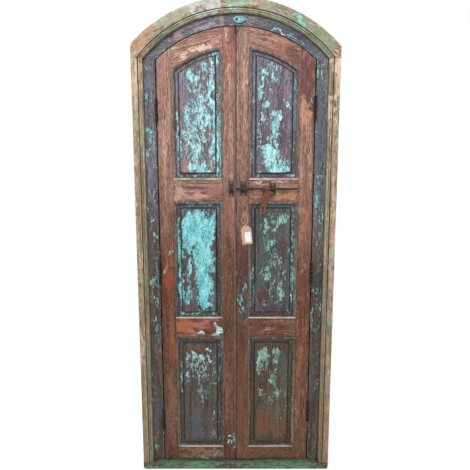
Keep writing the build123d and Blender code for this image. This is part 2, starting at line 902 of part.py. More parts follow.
# Staple that the hasp closes over
def make_staple():
    low, high = staple_leg_heights()
    crown_y = face - staple_height + staple_wire_radius
    path_plane = Plane(origin=(staple_x, 0, 0), x_dir=(0, 1, 0), z_dir=(1, 0, 0))
    with BuildPart() as staple:
        with BuildLine(path_plane):
            FilletPolyline(
                (face + staple_depth, low), (crown_y, low), (crown_y, high),
                (face + staple_depth, high), radius=staple_inner / 3,
            )
        with BuildSketch(Plane(origin=(staple_x, face + staple_depth, low), z_dir=(0, -1, 0))):
            Circle(staple_wire_radius)
        sweep()
    save(staple, "staple")


# Carved turn button, turned aside to the right of its pin
def make_turn_button():
    back = face - button_clearance
    heel = button_pivot_x - button_heel
    tip = heel + button_length
    widest = heel + button_length * button_widest_share
    with BuildPart() as button:
        with BuildSketch(upright(back)):
            with BuildLine():
                for sign in (1, -1):
                    Spline(
                        (heel, button_z), (widest, button_z + sign * button_width / 2), (tip, button_z),
                        tangents=((0, sign), (1, -button_tip_slope * sign)),
                    )
            make_face()
        slab(back - button_thickness, back)
        with BuildSketch(upright(back)):
            with Locations((button_pivot_x, button_z)):
                Circle(button_pin_radius + button_pin_clearance)
        extrude(amount=button_thickness, mode=Mode.SUBTRACT)
    save(button, "turn_button")


def make_turn_button_pin():
    front = face - button_clearance - button_thickness
    with BuildPart() as pin:
        with BuildSketch(upright(face + button_pin_depth)):
            with Locations((button_pivot_x, button_z)):
                Circle(button_pin_radius)
        slab(front - button_clearance, face + button_pin_depth)
        with BuildSketch(upright(front - button_clearance)):
            with Locations((button_pivot_x, button_z)):
                Circle(button_pin_head_radius)
        extrude(amount=button_pin_head)
    save(pin, "turn_button_pin")


def tag_plane():
    """Plane of the tag's front, with its origin at the middle of the top edge."""
    front = face - string_gap - string_radius - tag_thickness / 2
    top = (staple_x + tag_top_shift, front, staple_leg_heights()[0] - tag_drop)
    lean = radians(tag_tilt)
    return Plane(origin=top, x_dir=(cos(lean), 0, sin(lean)), z_dir=(0, -1, 0))


# Paper tag with an arched top and a punched hole; its face is bare
def make_hang_tag():
    shoulder = tag_width / 2 - tag_top_half
    with BuildPart() as tag:
        with BuildSketch(tag_plane()) as outline:
            with BuildLine():
                Polyline(
                    (-tag_top_half, 0), (-tag_width / 2, -shoulder * tag_shoulder_slope),
                    (-tag_width / 2, -tag_length), (tag_width / 2, -tag_length),
                    (tag_width / 2, -shoulder * tag_shoulder_slope), (tag_top_half, 0), (-tag_top_half, 0),
                )
            make_face()
            fillet(outline.vertices().sort_by(Axis.Y)[-4:], tag_corner_radius)
            with Locations((0, -tag_hole_inset)):
                Circle(tag_hole_radius, mode=Mode.SUBTRACT)
        extrude(amount=-tag_thickness)
    save(tag, "hang_tag")


# String of the tag, one loop over the lower leg of the staple
def make_tag_string():
    leg = Vector(staple_x, staple_leg_heights()[0])
    points = [leg + Vector(x, z) for x, z in string_route]
    radii = []
    for before, corner, after in zip(points, points[1:], points[2:]):
        turn = radians((corner - before).get_angle(after - corner))
        shorter = min((corner - before).length, (after - corner).length)
        radii.append(bend_share * shorter / tan(turn / 2))
    with BuildLine() as route:
        FilletPolyline(*points, radius=radii)
    path = upright(face - string_gap - string_radius).from_local_coords(route.wires()[0])
    with BuildPart() as string:
        with BuildSketch(Plane(origin=path @ 0, z_dir=path % 0)):
            Circle(string_radius)
        sweep(path=path)
    print("string length", round(path.length, 1), "volume", round(string.part.volume, 2))
    save(string, "tag_string")


def main():
    os.makedirs("parts", exist_ok=True)
    make_sill()
    for side in SIDES:
        make_jamb(side)
        make_casing(side)
    make_arch_head("arch_head_left", Keep.BOTTOM)
    make_arch_head("arch_head_right", Keep.TOP)
    left_cut, right_cut = casing_joint_left_x, casing_joint_right_x
    make_casing_arch("casing_arch_left", [(left_cut, Keep.BOTTOM)])
    make_casing_arch("casing_arch_crown", [(left_cut, Keep.TOP), (right_cut, Keep.BOTTOM)])
    make_casing_arch("casing_arch_right", [(right_cut, Keep.TOP)])
    for side in SIDES:
        make_stile(side, "hinge_stile")
        make_stile(side, "meeting_stile")
        for level in RAILS:
            make_rail(side, level)
        for name in OPENINGS:
            make_panel(side, name)
            make_bead(side, name)
        for level in LEVELS:
            make_flap(side, level, on_jamb=True)
            make_flap(side, level, on_jamb=False)
    make_hinge_pins()
    make_nails()
    make_bracket("bolt_keeper", keeper_x, keeper_width, keeper_height, keeper_clearance)
    make_bracket(
        "bolt_bracket_inner", inner_bracket_x, inner_bracket_width, inner_bracket_height,
        bracket_clearance,
    )
    make_bracket(
        "bolt_bracket_outer", outer_bracket_x, outer_bracket_width, outer_bracket_height,
        bracket_clearance,
    )
    make_rod()
    make_hasp()
    make_staple()
    make_hang_tag()
    make_tag_string()
    make_turn_button()
    make_turn_button_pin()


main()
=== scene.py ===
from math import cos, pi, radians, sin

import bmesh
import bpy
from mathutils import Matrix, Vector


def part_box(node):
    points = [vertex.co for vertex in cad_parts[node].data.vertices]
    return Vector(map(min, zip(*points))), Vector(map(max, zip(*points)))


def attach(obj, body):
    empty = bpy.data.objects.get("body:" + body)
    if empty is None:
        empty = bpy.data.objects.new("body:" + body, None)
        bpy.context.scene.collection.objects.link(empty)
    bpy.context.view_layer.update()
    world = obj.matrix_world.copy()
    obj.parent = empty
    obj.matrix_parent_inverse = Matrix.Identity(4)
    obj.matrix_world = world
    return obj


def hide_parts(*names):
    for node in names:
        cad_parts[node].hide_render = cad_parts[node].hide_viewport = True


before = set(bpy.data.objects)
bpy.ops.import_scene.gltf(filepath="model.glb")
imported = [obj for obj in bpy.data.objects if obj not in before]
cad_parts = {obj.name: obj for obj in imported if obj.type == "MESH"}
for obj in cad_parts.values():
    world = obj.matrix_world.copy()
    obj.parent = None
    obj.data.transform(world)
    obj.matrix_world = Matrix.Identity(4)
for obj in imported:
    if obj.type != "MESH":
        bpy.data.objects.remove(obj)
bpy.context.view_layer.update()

# Finishes, small pieces, camera and light for an old arched double door in its frame. Metres, in the
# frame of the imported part: X to the right, Y to the back, Z up, with the sill's underside at zero.

SIDES = ("left", "right")
LEVELS = ("bottom", "middle", "top")

# Lines of the door that the finishes follow
door_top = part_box("casing_arch_crown")[1].z
casing_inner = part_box("casing_right")[0].x
casing_arch_width = 0.060
casing_arch_rise = 0.185
moulding_width = 0.020
panel_arch_drop = 0.187
panel_arch_rise = 0.096
bead_width = 0.012
field_inset = 0.032
bevel_width = 0.006


def arc(half_span, rise, top):
    """Radius and centre height of an arch."""
    radius = (half_span**2 + rise**2) / (2 * rise)
    return radius, top - radius


casing_arch = arc(casing_inner, casing_arch_rise, door_top - casing_arch_width)
panel_arch = arc(-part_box("left_top_bead")[0].x, panel_arch_rise, door_top - panel_arch_drop)


def rgb(red, green, blue):
    """Colour from its 0 to 255 values on screen."""
    linear = []
    for value in (red, green, blue):
        share = value / 255
        linear.append(share / 12.92 if share <= 0.04045 else ((share + 0.055) / 1.055) ** 2.4)
    return (*linear, 1.0)


# Slope of the grain in the boards of the arch, in degrees
SLOPE = {
    "casing_arch_left": 26, "casing_arch_right": -26, "arch_head_left": 17, "arch_head_right": -17,
    "left_top_rail": 15, "right_top_rail": -15,
}

# Noise drawn out along the grain: figure, fibres, broad clouds and short streaks
FIGURE, FIBRE, CLOUD, STREAK = (
    {"z": (1, 1, share), "x": (share, 1, 1)} for share in (0.07, 0.03, 0.3, 0.16)
)


def add_node(tree, kind, inputs=None, **settings):
    """Adds a node. Each input is a value or another node's socket."""
    new = tree.nodes.new(kind)
    for key, value in settings.items():
        setattr(new, key, value)
    for socket, value in (inputs or {}).items():
        if isinstance(value, bpy.types.NodeSocket):
            tree.links.new(value, new.inputs[socket])
        else:
            new.inputs[socket].default_value = value
    return new


class Shader:
    """Node tree of one material, written as expressions. A value is a number or a socket."""

    def __init__(self, name, seed=0, turn=0.0):
        self.material = bpy.data.materials.new(name)
        self.material.use_nodes = True
        self.tree = self.material.node_tree
        self.tree.nodes.clear()
        self.place = self.node("ShaderNodeTexCoord").outputs["Object"]
        turned = self.place
        if turn:
            turned = self.node(
                "ShaderNodeVectorRotate", {"Vector": turned, "Angle": radians(turn)},
                rotation_type="Y_AXIS",
            ).outputs[0]
        self.own = self.vector("ADD", turned, (7.3 * seed, 3.1 * seed, 5.7 * seed))

    def node(self, kind, inputs=None, **settings):
        return add_node(self.tree, kind, inputs, **settings)

    def math(self, operation, a, b=0.0):
        return self.node("ShaderNodeMath", {0: a, 1: b}, operation=operation).outputs[0]

    def weigh(self, *pairs):
        """Sum of values, each with its weight."""
        total = 0.0
        for value, weight in pairs:
            total = self.node(
                "ShaderNodeMath", {0: value, 1: weight, 2: total}, operation="MULTIPLY_ADD",
            ).outputs[0]
        return total

    def less(self, value):
        return self.math("SUBTRACT", 1.0, value)

    def times(self, a, b):
        return self.math("MULTIPLY", a, b)

    def vector(self, operation, a, b=(0.0, 0.0, 0.0), c=(0.0, 0.0, 0.0)):
        node = self.node("ShaderNodeVectorMath", {0: a, 1: b}, operation=operation)
        if operation == "MULTIPLY_ADD":
            node.inputs[2].default_value = c
        return node.outputs["Value" if operation == "LENGTH" else "Vector"]

    def axis(self, index):
        return self.node("ShaderNodeSeparateXYZ", {0: self.place}).outputs[index]

    def noise(self, scale, stretch=(1, 1, 1), detail=5.0, rough=0.6, warp=0.0, shift=0.0, colour=False):
        node = self.node(
            "ShaderNodeTexNoise",
            {
                "Vector": self.vector("MULTIPLY_ADD", self.own, stretch, (shift, shift, shift)),
                "Scale": scale, "Detail": detail, "Roughness": rough, "Distortion": warp,
            },
        )
        return node.outputs[1 if colour else 0]

    def step(self, value, low, high, top=1.0):
        """Smooth step from 0 at low to its top at high; low may be the larger."""
        return self.node(
            "ShaderNodeMapRange", {"Value": value, "From Min": low, "From Max": high, "To Max": top},
            interpolation_type="SMOOTHSTEP",
        ).outputs[0]

    def patches(self, scale, stretch, low, high, top=1.0, detail=6, rough=0.7, warp=0.0, shift=0.0):
        """Uneven patches: a smooth step of noise."""
        return self.step(self.noise(scale, stretch, detail, rough, warp, shift), low, high, top)

    def mix(self, share, a, b, blend="MIX"):
        """Mixes two colours, each a socket or its 0 to 255 values on screen."""
        a, b = (rgb(*colour) if isinstance(colour, tuple) else colour for colour in (a, b))
        node = self.node("ShaderNodeMix", {0: share, 6: a, 7: b}, data_type="RGBA", blend_type=blend)
        return node.outputs[2]

    def most(self, values, operation="MAXIMUM"):
        result = values[0]
        for value in values[1:]:
            result = self.math(operation, result, value)
        return result

    def edges(self, piece, ends=True):
        """Distances from both sides of a piece's box, and from its foot and top."""
        low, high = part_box(piece)
        x, z = self.axis(0), self.axis(2)
        distances = [self.math("SUBTRACT", x, low.x), self.math("SUBTRACT", high.x, x)]
        if ends:
            distances += [self.math("SUBTRACT", z, low.z), self.math("SUBTRACT", high.z, z)]
        return distances

    def from_centre(self, centre):
        """Distance from the centre of an arch, which is at this height on the door's middle line."""
        out = self.vector("MULTIPLY_ADD", self.place, (1, 0, 1), (0, 0, -centre))
        return self.vector("LENGTH", out)

    def adrift(self, amount, scale):
        """The place, moved about by noise, so that the edges of spots wander."""
        drift = self.noise(scale, detail=6, rough=0.65, colour=True)
        drift = self.vector("MULTIPLY_ADD", drift, (2 * amount, 0, 2 * amount), (-amount, 0, -amount))
        return self.vector("ADD", self.place, drift)

    def spots(self, spots, place):
        """Field with a soft-edged rise at each spot. A spot is its middle's x and z, its half width and
        half height in millimetres, and its share of cover."""
        fields = [0.0]
        for x, z, wide, high, cover in spots:
            near = self.vector(
                "MULTIPLY_ADD", place, (1000 / wide, 0, 1000 / high), (-x / wide, 0, -z / high),
            )
            fields.append(self.step(self.vector("LENGTH", near), 1.3, 0.6, cover))
        return self.most(fields)

    def shade(self, distance, inside=False):
        """1 in corners and joints, 0 on open faces; or, inside, 1 on outer edges and 0 elsewhere."""
        light = self.node(
            "ShaderNodeAmbientOcclusion", {"Distance": distance}, samples=8, inside=inside,
            only_local=inside,
        ).outputs["AO"]
        return self.less(light)

    def finish(self, colour, roughness, height=None, depth=0.001, specular=0.3):
        surface = self.node(
            "ShaderNodeBsdfPrincipled",
            {"Base Color": colour, "Roughness": roughness, "Specular IOR Level": specular},
        )
        if height is not None:
            bump = self.node("ShaderNodeBump", {"Height": height, "Distance": depth, "Strength": 1.0})
            self.tree.links.new(bump.outputs[0], surface.inputs["Normal"])
        self.node("ShaderNodeOutputMaterial", {"Surface": surface.outputs[0]}, target="ALL")
        return self.material


def old_timber(shader, along, dark, middle, light, contrast=1.0):
    """Colour and height of bare old timber, with its grain along one axis."""
    figure = shader.noise(46, FIGURE[along], detail=7, rough=0.62, warp=0.6)
    fleck = shader.noise(240, STREAK[along], detail=7, rough=0.78, shift=3)
    fibre = shader.noise(640, FIBRE[along], detail=3, rough=0.6, shift=5)
    tone = shader.weigh((figure, 0.3), (fleck, 0.5), (fibre, 0.2))
    colour = shader.mix(shader.step(tone, 0.5 - 0.07 * contrast, 0.502), dark, middle)
    colour = shader.mix(shader.step(tone, 0.5, 0.5 + 0.075 * contrast), colour, light)
    lines = shader.patches(210, FIBRE[along], 0.56, 0.64, 0.5, 4, warp=0.25, shift=24)
    colour = shader.mix(lines, colour, dark)
    pits = shader.patches(250, CLOUD[along], 0.57, 0.615, 0.6, rough=0.75, shift=12)
    colour = shader.mix(pits, colour, (40, 28, 26))
    crack = shader.noise(30, FIBRE[along], 6, 0.6, 0.4, 9)
    crack = shader.math("ABSOLUTE", shader.math("SUBTRACT", crack, 0.5))
    crack = shader.times(shader.step(crack, 0.006, 0.001), shader.step(figure, 0.42, 0.56))
    colour = shader.mix(shader.times(crack, 0.7), colour, (36, 24, 22))
    height = shader.weigh(
        (figure, 0.5), (fleck, 1.2), (fibre, 0.4), (lines, -0.5), (crack, -0.9), (pits, -0.8),
    )
    return colour, height


def tones(shader, share, foot, head):
    """Dark, middle and light tone, which change from those of the foot to those of the head."""
    return [shader.mix(share, low, high) for low, high in zip(foot, head)]


def tinted(shader, colour, piece, place, along="z"):
    """Stains and faded areas."""
    broken = shader.noise(120, STREAK[along], detail=9, rough=0.82, shift=2)
    for tint, strength, *spots in TINTS.get(piece, ()):
        field = shader.weigh((shader.spots(spots, place), 1.15), (broken, 5.5), (1.0, -2.9))
        mask = shader.step(field, -0.05, 1.05, strength)
        colour = shader.mix(mask, colour, tint)
    return colour


def outlined(shader, colour, node, along):
    """Dirt and wear gathered along the edges and ends of a board."""
    edges = shader.edges(node, ends=not node.endswith("top_rail"))
    uneven = shader.noise(26, CLOUD[along], detail=7, rough=0.75, shift=23)
    inset = shader.weigh((shader.most(edges, "MINIMUM"), 1.0), (uneven, -0.03), (1.0, 0.0135))
    return shader.mix(shader.step(inset, 0.007, 0.0, 0.5), colour, (58, 36, 30))


def painted(shader, colour, height, paint, field, stretch=(1, 1, 0.35), fine=150):
    """Lays what is left of a coat of paint. The field is the share of the face that it covers."""
    bright, middle, deep = paint
    chips = shader.noise(fine, stretch, detail=8, rough=0.8, shift=4)
    flakes = shader.noise(fine * 0.3, stretch, detail=6, rough=0.7, shift=14)
    scratches = shader.patches(fine * 2.4, stretch, 0.56, 0.63, detail=5, shift=10)
    left = shader.weigh((field, 1.25), (chips, 4.6), (flakes, 2.4), (scratches, -0.8), (1.0, -3.7))
    coat = shader.step(left, 0.46, 0.54)
    fade = shader.noise(45, stretch, detail=7, rough=0.75, shift=6)
    grain = shader.noise(260, stretch, detail=6, rough=0.8, shift=8)
    tone = shader.weigh((fade, 0.45), (grain, 0.55))
    skin = shader.mix(shader.step(tone, 0.435, 0.485), deep, middle)
    skin = shader.mix(shader.step(tone, 0.49, 0.54), skin, bright)
    rim = shader.times(coat, shader.step(left, 0.85, 0.55))
    pale = tuple(min(255, value + 40) for value in bright)
    skin = shader.mix(shader.times(rim, 0.4), skin, pale)
    # Painted shadow of the coat's edge: a dark rim on the bare wood beside it
    coat_edge_shadow = shader.times(shader.less(coat), shader.step(left, 0.1, 0.46))
    colour = shader.mix(shader.times(coat_edge_shadow, 0.55), colour, (34, 34, 38))
    colour = shader.mix(coat, colour, skin)
    return colour, shader.weigh((height, 1.0), (coat, 1.1))


def worn_and_shaded(shader, colour, light, strength=0.45, reach=0.015):
    """Arrises rubbed pale in places and dirty in others; joints, corners and recesses darkened as painted
    shade, which also stands for grime there.
    """
    edge = shader.step(shader.shade(0.0035, inside=True), 0.12, 0.5, strength)
    rubbed = shader.patches(60, (1, 1, 1), 0.42, 0.56, detail=5, shift=7)
    colour = shader.mix(shader.times(edge, rubbed), colour, light)
    colour = shader.mix(shader.times(edge, shader.less(rubbed)), colour, (40, 30, 28))
    # Painted shade: occlusion darkens joints, corners and recesses, and also stands for grime there
    shade_and_dirt = shader.step(shader.shade(reach), 0.18, 0.72, 0.9)
    return shader.mix(shade_and_dirt, colour, (30, 24, 22))


# Paints by what is left of them: bright, middle and deep tone
CYAN = ((190, 236, 240), (140, 202, 206), (76, 130, 134))
BLUE = ((152, 226, 230), (116, 196, 200), (66, 124, 124))
SEA = ((164, 216, 204), (114, 168, 158), (62, 104, 98))
GREEN = ((176, 214, 196), (124, 168, 148), (72, 106, 92))
WHITE = ((196, 230, 226), (136, 182, 178), (80, 118, 114))
CASING_GREEN = ((172, 208, 186), (134, 190, 166), (104, 158, 134))
SILL_GREEN = ((112, 148, 116), (82, 118, 88), (54, 84, 64))
BEAD_GREEN = ((124, 164, 154), (88, 124, 116), (56, 82, 78))


# Leaf timber: pinkish and paler at the head, redder and darker towards the sill, partly its own colour and
# partly painted light from above
def leaf_wood(node, seed, along):
    shader = Shader("timber_" + node, seed, SLOPE.get(node, 0))
    place = shader.adrift(0.09, 12)
    foot = ((60, 37, 28), (108, 71, 52), (144, 106, 84))
    head = ((100, 66, 57), (154, 117, 102), (202, 170, 154))
    # Paler towards the head: partly the timber's own tone, partly painted light falling from above
    high = shader.step(shader.axis(2), 0.95, 1.5)
    colour, height = old_timber(shader, along, *tones(shader, high, foot, head))
    warm = shader.patches(7, CLOUD[along], 0.48, 0.62, 0.4, 5, 0.6, shift=11)
    colour = shader.mix(warm, colour, (158, 84, 50), "SOFT_LIGHT")
    plum = shader.patches(11, CLOUD[along], 0.54, 0.66, 0.4, shift=13)
    colour = shader.mix(plum, colour, (104, 68, 66))
    colour = tinted(shader, colour, node, place, along)
    colour = outlined(shader, colour, node, along)
    specks = shader.patches(20, CLOUD[along], 0.5, 0.64, 0.1, shift=15)
    field = shader.most([specks, shader.spots(PAINT.get(node, ()), place)])
    paint = WHITE if node == "left_lower_rail" else SEA
    colour, height = painted(shader, colour, height, paint, field, CLOUD[along])
    colour = worn_and_shaded(shader, colour, (206, 172, 156))
    if "meeting" in node:
        # Painted shade of the gap between the leaves, darkening the front of the edges that meet
        meeting = shader.step(shader.math("ABSOLUTE", shader.axis(0)), 0.0046, 0.0022, 0.9)
        at_front = shader.step(shader.axis(1), -0.015, -0.021)
        colour = shader.mix(shader.times(meeting, at_front), colour, (30, 18, 16))
    return shader.finish(colour, 0.72, height, 0.0014)


# Frame inside the casing: worn slate and lavender coats over brown
def frame_wood(node, seed, along):
    shader = Shader("frame_" + node, seed, SLOPE.get(node, 0))
    place = shader.adrift(0.09, 12)
    foot = ((46, 36, 30), (80, 65, 54), (118, 100, 86))
    head = ((56, 52, 58), (96, 97, 102), (150, 148, 152))
    high = shader.step(shader.axis(2), 0.85, 1.45)
    colour, height = old_timber(shader, along, *tones(shader, high, foot, head))
    plum = shader.patches(10, CLOUD[along], 0.53, 0.66, 0.5, shift=13)
    colour = shader.mix(plum, colour, (104, 78, 80))
    slate = shader.patches(16, CLOUD[along], 0.52, 0.66, 0.45, shift=17)
    colour = shader.mix(slate, colour, (78, 96, 98))
    colour = tinted(shader, colour, node, place, along)
    specks = shader.patches(14, CLOUD[along], 0.44, 0.64, 0.4, shift=15)
    field = shader.most([specks, shader.spots(PAINT.get(node, ()), place)])
    colour, height = painted(shader, colour, height, SEA, field, CLOUD[along])
    return shader.finish(worn_and_shaded(shader, colour, (168, 160, 162)), 0.75, height, 0.0014)


# Casing: dry tan timber, with green left along the moulding and thin paint towards the crown
def casing_wood(node, seed, along):
    shader = Shader("casing_" + node, seed, SLOPE.get(node, 0))
    place = shader.adrift(0.13, 10)
    dark, middle, light = (108, 86, 68), (168, 146, 124), (210, 194, 172)
    colour, height = old_timber(shader, along, dark, middle, light, 0.9)
    low = shader.step(shader.axis(2), 0.75, 0.1, 0.5)
    colour = shader.mix(low, colour, (128, 100, 74))
    rust = shader.patches(9, CLOUD[along], 0.5, 0.64, 0.3, shift=11)
    colour = shader.mix(rust, colour, (160, 112, 78))
    streaks = shader.patches(90, FIBRE[along], 0.5, 0.62, 0.5, rough=0.72, warp=0.4, shift=26)
    colour = shader.mix(streaks, colour, (92, 78, 62))
    if along == "x":
        radius, centre = casing_arch
        across = shader.math("SUBTRACT", shader.from_centre(centre), radius)
    else:
        across = shader.math("SUBTRACT", shader.math("ABSOLUTE", shader.axis(0)), casing_inner)
    moulded = shader.step(across, moulding_width + 0.003, moulding_width - 0.003)
    patchy = shader.patches(12, CLOUD[along], 0.4, 0.58, 0.5, shift=19)
    colour = shader.mix(shader.times(moulded, patchy), colour, (104, 118, 88))
    colour = tinted(shader, colour, node, place, along)
    field = shader.spots(PAINT.get(node, ()), place)
    colour, height = painted(shader, colour, height, CASING_GREEN, field, CLOUD[along], 80)
    colour = worn_and_shaded(shader, colour, (222, 206, 184), 0.4)
    return shader.finish(colour, 0.82, height, 0.0014)


# Sill: green paint worn through to brown
def sill_wood():
    shader = Shader("timber_sill", 3)
    place = shader.adrift(0.08, 12)
    colour, height = old_timber(shader, "x", (50, 42, 34), (90, 76, 60), (126, 112, 90))
    colour = tinted(shader, colour, "sill", place, "x")
    coat = shader.patches(8, (0.4, 1, 1), 0.36, 0.55, 0.94, rough=0.65, shift=21)
    field = shader.most([coat, shader.spots(PAINT["sill"], place)])
    colour, height = painted(shader, colour, height, SILL_GREEN, field, (0.4, 1, 1), 80)
    return shader.finish(worn_and_shaded(shader, colour, (140, 140, 116), 0.45, 0.007), 0.75, height, 0.0014)


# Panels: slate and mauve coats over brown timber, with turquoise left on top, and dirt with painted shade in
# a dark line round the field
def panel_wood(name, seed):
    level = name.split("_")[1]
    shader = Shader("panel_" + name, seed)
    place = shader.adrift(0.055, 20)
    *timber, coat, fleck_share = PANELS[name]
    colour, height = old_timber(shader, "z", *timber, 0.9)
    slate = shader.patches(30, (1, 1, 0.3), 0.5, 0.6, 0.45, 8, 0.78, shift=11)
    colour = shader.mix(slate, colour, PANEL_SLATE[level])
    brown = shader.patches(24, (1, 1, 0.35), 0.54, 0.64, 0.5, 8, 0.75, shift=13)
    colour = shader.mix(brown, colour, (96, 66, 60))
    teal = shader.patches(48, (1, 1, 0.4), 0.54, 0.64, 0.5, 8, 0.8, shift=15)
    colour = shader.mix(teal, colour, (60, 92, 90))
    colour = tinted(shader, colour, name, place)
    flecks = shader.patches(9, (1, 1, 0.4), 0.42, 0.62, fleck_share, 5, 0.6, shift=17)
    field = shader.most([flecks, shader.spots(PAINT[name], place)])
    colour, height = painted(shader, colour, height, coat, field)
    # Dark line round the raised field: dirt and painted shade where the field steps down from the margin
    edges = shader.edges(name + "_bead")
    if level == "top":
        radius, centre = panel_arch
        edges.append(shader.math("SUBTRACT", radius, shader.from_centre(centre)))
    inset = shader.most(edges, "MINIMUM")
    wavy = shader.weigh((shader.noise(40, detail=6, rough=0.7, shift=19), 0.004), (1.0, -0.002))
    from_line = shader.weigh((inset, 1.0), (wavy, 1.0), (1.0, bevel_width / 2 - field_inset))
    line = shader.step(shader.math("ABSOLUTE", from_line), 0.0052, 0.0028, 0.8)
    colour = shader.mix(line, colour, PANEL_DIRT_AND_SHADE[level])
    at_front = shader.step(shader.axis(1), 0.0, -0.01)
    colour = shader.mix(at_front, (104, 78, 62), colour)
    return shader.finish(worn_and_shaded(shader, colour, (150, 170, 170), 0.4, 0.007), 0.62, height, 0.0016)


# Beads: worn timber with traces of paint, and a painted highlight along the top of the lower run
def bead_wood(name, seed):
    shader = Shader("bead_" + name, seed)
    foot = ((46, 36, 32), (92, 74, 64), (138, 118, 108))
    head = ((66, 54, 54), (118, 98, 94), (172, 152, 146))
    high = shader.step(shader.axis(2), 0.7, 1.4)
    colour, height = old_timber(shader, "z", *tones(shader, high, foot, head))
    traces = shader.patches(16, (1, 1, 0.4), 0.44, 0.62, 0.5, shift=15)
    colour, height = painted(shader, colour, height, BEAD_GREEN, traces)
    if name + "_bead" in PAINT:
        field = shader.spots(PAINT[name + "_bead"], shader.adrift(0.012, 24))
        colour, height = painted(shader, colour, height, PANELS[name][3], field)
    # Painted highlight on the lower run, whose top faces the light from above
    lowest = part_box(name + "_bead")[0].z
    from_foot = shader.math("SUBTRACT", shader.axis(2), lowest)
    ledge_highlight = shader.step(from_foot, bead_width * 0.7, bead_width * 0.35)
    patchy = shader.patches(20, (0.4, 1, 1), 0.3, 0.56, 0.85, 5, 0.6, shift=17)
    colour = shader.mix(shader.times(ledge_highlight, patchy), colour, (222, 200, 188))
    return shader.finish(worn_and_shaded(shader, colour, (176, 160, 150), 0.6, 0.004), 0.62, height, 0.0012)


def iron(name, seed, rust=0.25, dark=(22, 18, 18), light=(66, 54, 52)):
    shader = Shader("iron_" + name, seed)
    blotch = shader.noise(55, detail=7, rough=0.7)
    pits = shader.noise(420, detail=5, rough=0.75)
    colour = shader.mix(shader.step(pits, 0.4, 0.65), dark, light)
    rusty = shader.mix(shader.step(pits, 0.4, 0.62), (80, 44, 34), (140, 88, 70))
    colour = shader.mix(shader.step(blotch, 0.75 - 0.5 * rust, 0.87 - 0.5 * rust), colour, rusty)
    edge = shader.step(shader.shade(0.0025, inside=True), 0.15, 0.5, 0.4)
    colour = shader.mix(edge, colour, (128, 108, 100))
    return shader.finish(colour, 0.7, shader.weigh((blotch, 1.0), (pits, 1.0)), 0.0007, 0.12)


# Nails: those of the casing are painted over with it, those further back are bare
def frame_nail():
    shader = Shader("nails_frame", 6)
    clots = shader.noise(180, detail=6, rough=0.7)
    timber = shader.mix(shader.step(clots, 0.4, 0.6), (112, 86, 64), (168, 142, 116))
    bare = shader.mix(shader.step(clots, 0.4, 0.6), (34, 28, 27), (84, 70, 66))
    colour = shader.mix(shader.step(shader.axis(1), -0.040, -0.044), bare, timber)
    return shader.finish(colour, 0.75, clots, 0.0006)


def kraft_card():
    shader = Shader("kraft_card", 2)
    fibres = shader.noise(600, (1, 1, 0.5), detail=5, rough=0.75)
    cloud = shader.noise(45, detail=5)
    colour = shader.mix(shader.step(fibres, 0.35, 0.65), (168, 138, 120), (196, 171, 155))
    colour = shader.mix(shader.step(cloud, 0.45, 0.65, 0.5), colour, (198, 180, 168))
    edge = shader.step(shader.shade(0.004, inside=True), 0.1, 0.5, 0.4)
    colour = shader.mix(edge, colour, (186, 150, 122))
    return shader.finish(colour, 0.9, fibres, 0.0002)


def label_paper():
    shader = Shader("label_paper", 5)
    cloud = shader.noise(120, detail=5)
    colour = shader.mix(shader.step(cloud, 0.42, 0.7), (232, 230, 230), (210, 206, 206))
    return shader.finish(colour, 0.6, cloud, 0.0001)


def cotton():
    shader = Shader("cotton_string", 4)
    strands = shader.noise(900, detail=5, rough=0.7)
    colour = shader.mix(shader.step(strands, 0.35, 0.65), (206, 160, 116), (250, 224, 188))
    return shader.finish(colour, 0.95, strands, 0.0004)


def button_paint():
    shader = Shader("button_paint", 8)
    clots = shader.noise(160, (0.6, 1, 1), detail=7, rough=0.75)
    colour = shader.mix(shader.step(clots, 0.38, 0.52), (58, 96, 112), (112, 168, 180))
    colour = shader.mix(shader.step(clots, 0.48, 0.64), colour, (178, 220, 224))
    # Painted highlight on the crests of the ridges, and painted shade in the hollows between them
    crest_highlight = shader.step(shader.shade(0.003, inside=True), 0.15, 0.5, 0.7)
    colour = shader.mix(crest_highlight, colour, (224, 240, 240))
    shade_and_dirt = shader.step(shader.shade(0.006), 0.3, 0.8, 0.85)
    return shader.finish(shader.mix(shade_and_dirt, colour, (34, 46, 52)), 0.6, clots, 0.0008)


# What follows is read off the object. Panels: dark, middle and light tone of the timber, the paint
# on it, and share of flecks
PANELS = {
    "left_top": ((70, 62, 68), (116, 106, 112), (158, 148, 154), CYAN, 0.5),
    "right_top": ((62, 52, 60), (102, 90, 100), (138, 126, 136), CYAN, 0.36),
    "left_middle": ((52, 40, 40), (86, 70, 68), (122, 110, 110), BLUE, 0.44),
    "right_middle": ((46, 42, 42), (82, 72, 72), (116, 112, 110), SEA, 0.44),
    "left_bottom": ((46, 38, 33), (80, 70, 60), (110, 99, 90), WHITE, 0.3),
    "right_bottom": ((50, 36, 26), (84, 62, 45), (110, 88, 68), GREEN, 0.24),
}
PANEL_SLATE = {"top": (104, 112, 126), "middle": (82, 98, 104), "bottom": (74, 82, 80)}
# Colour of the dark line round the field: dirt and painted shade
PANEL_DIRT_AND_SHADE = {"top": (26, 42, 42), "middle": (34, 32, 32), "bottom": (44, 36, 32)}

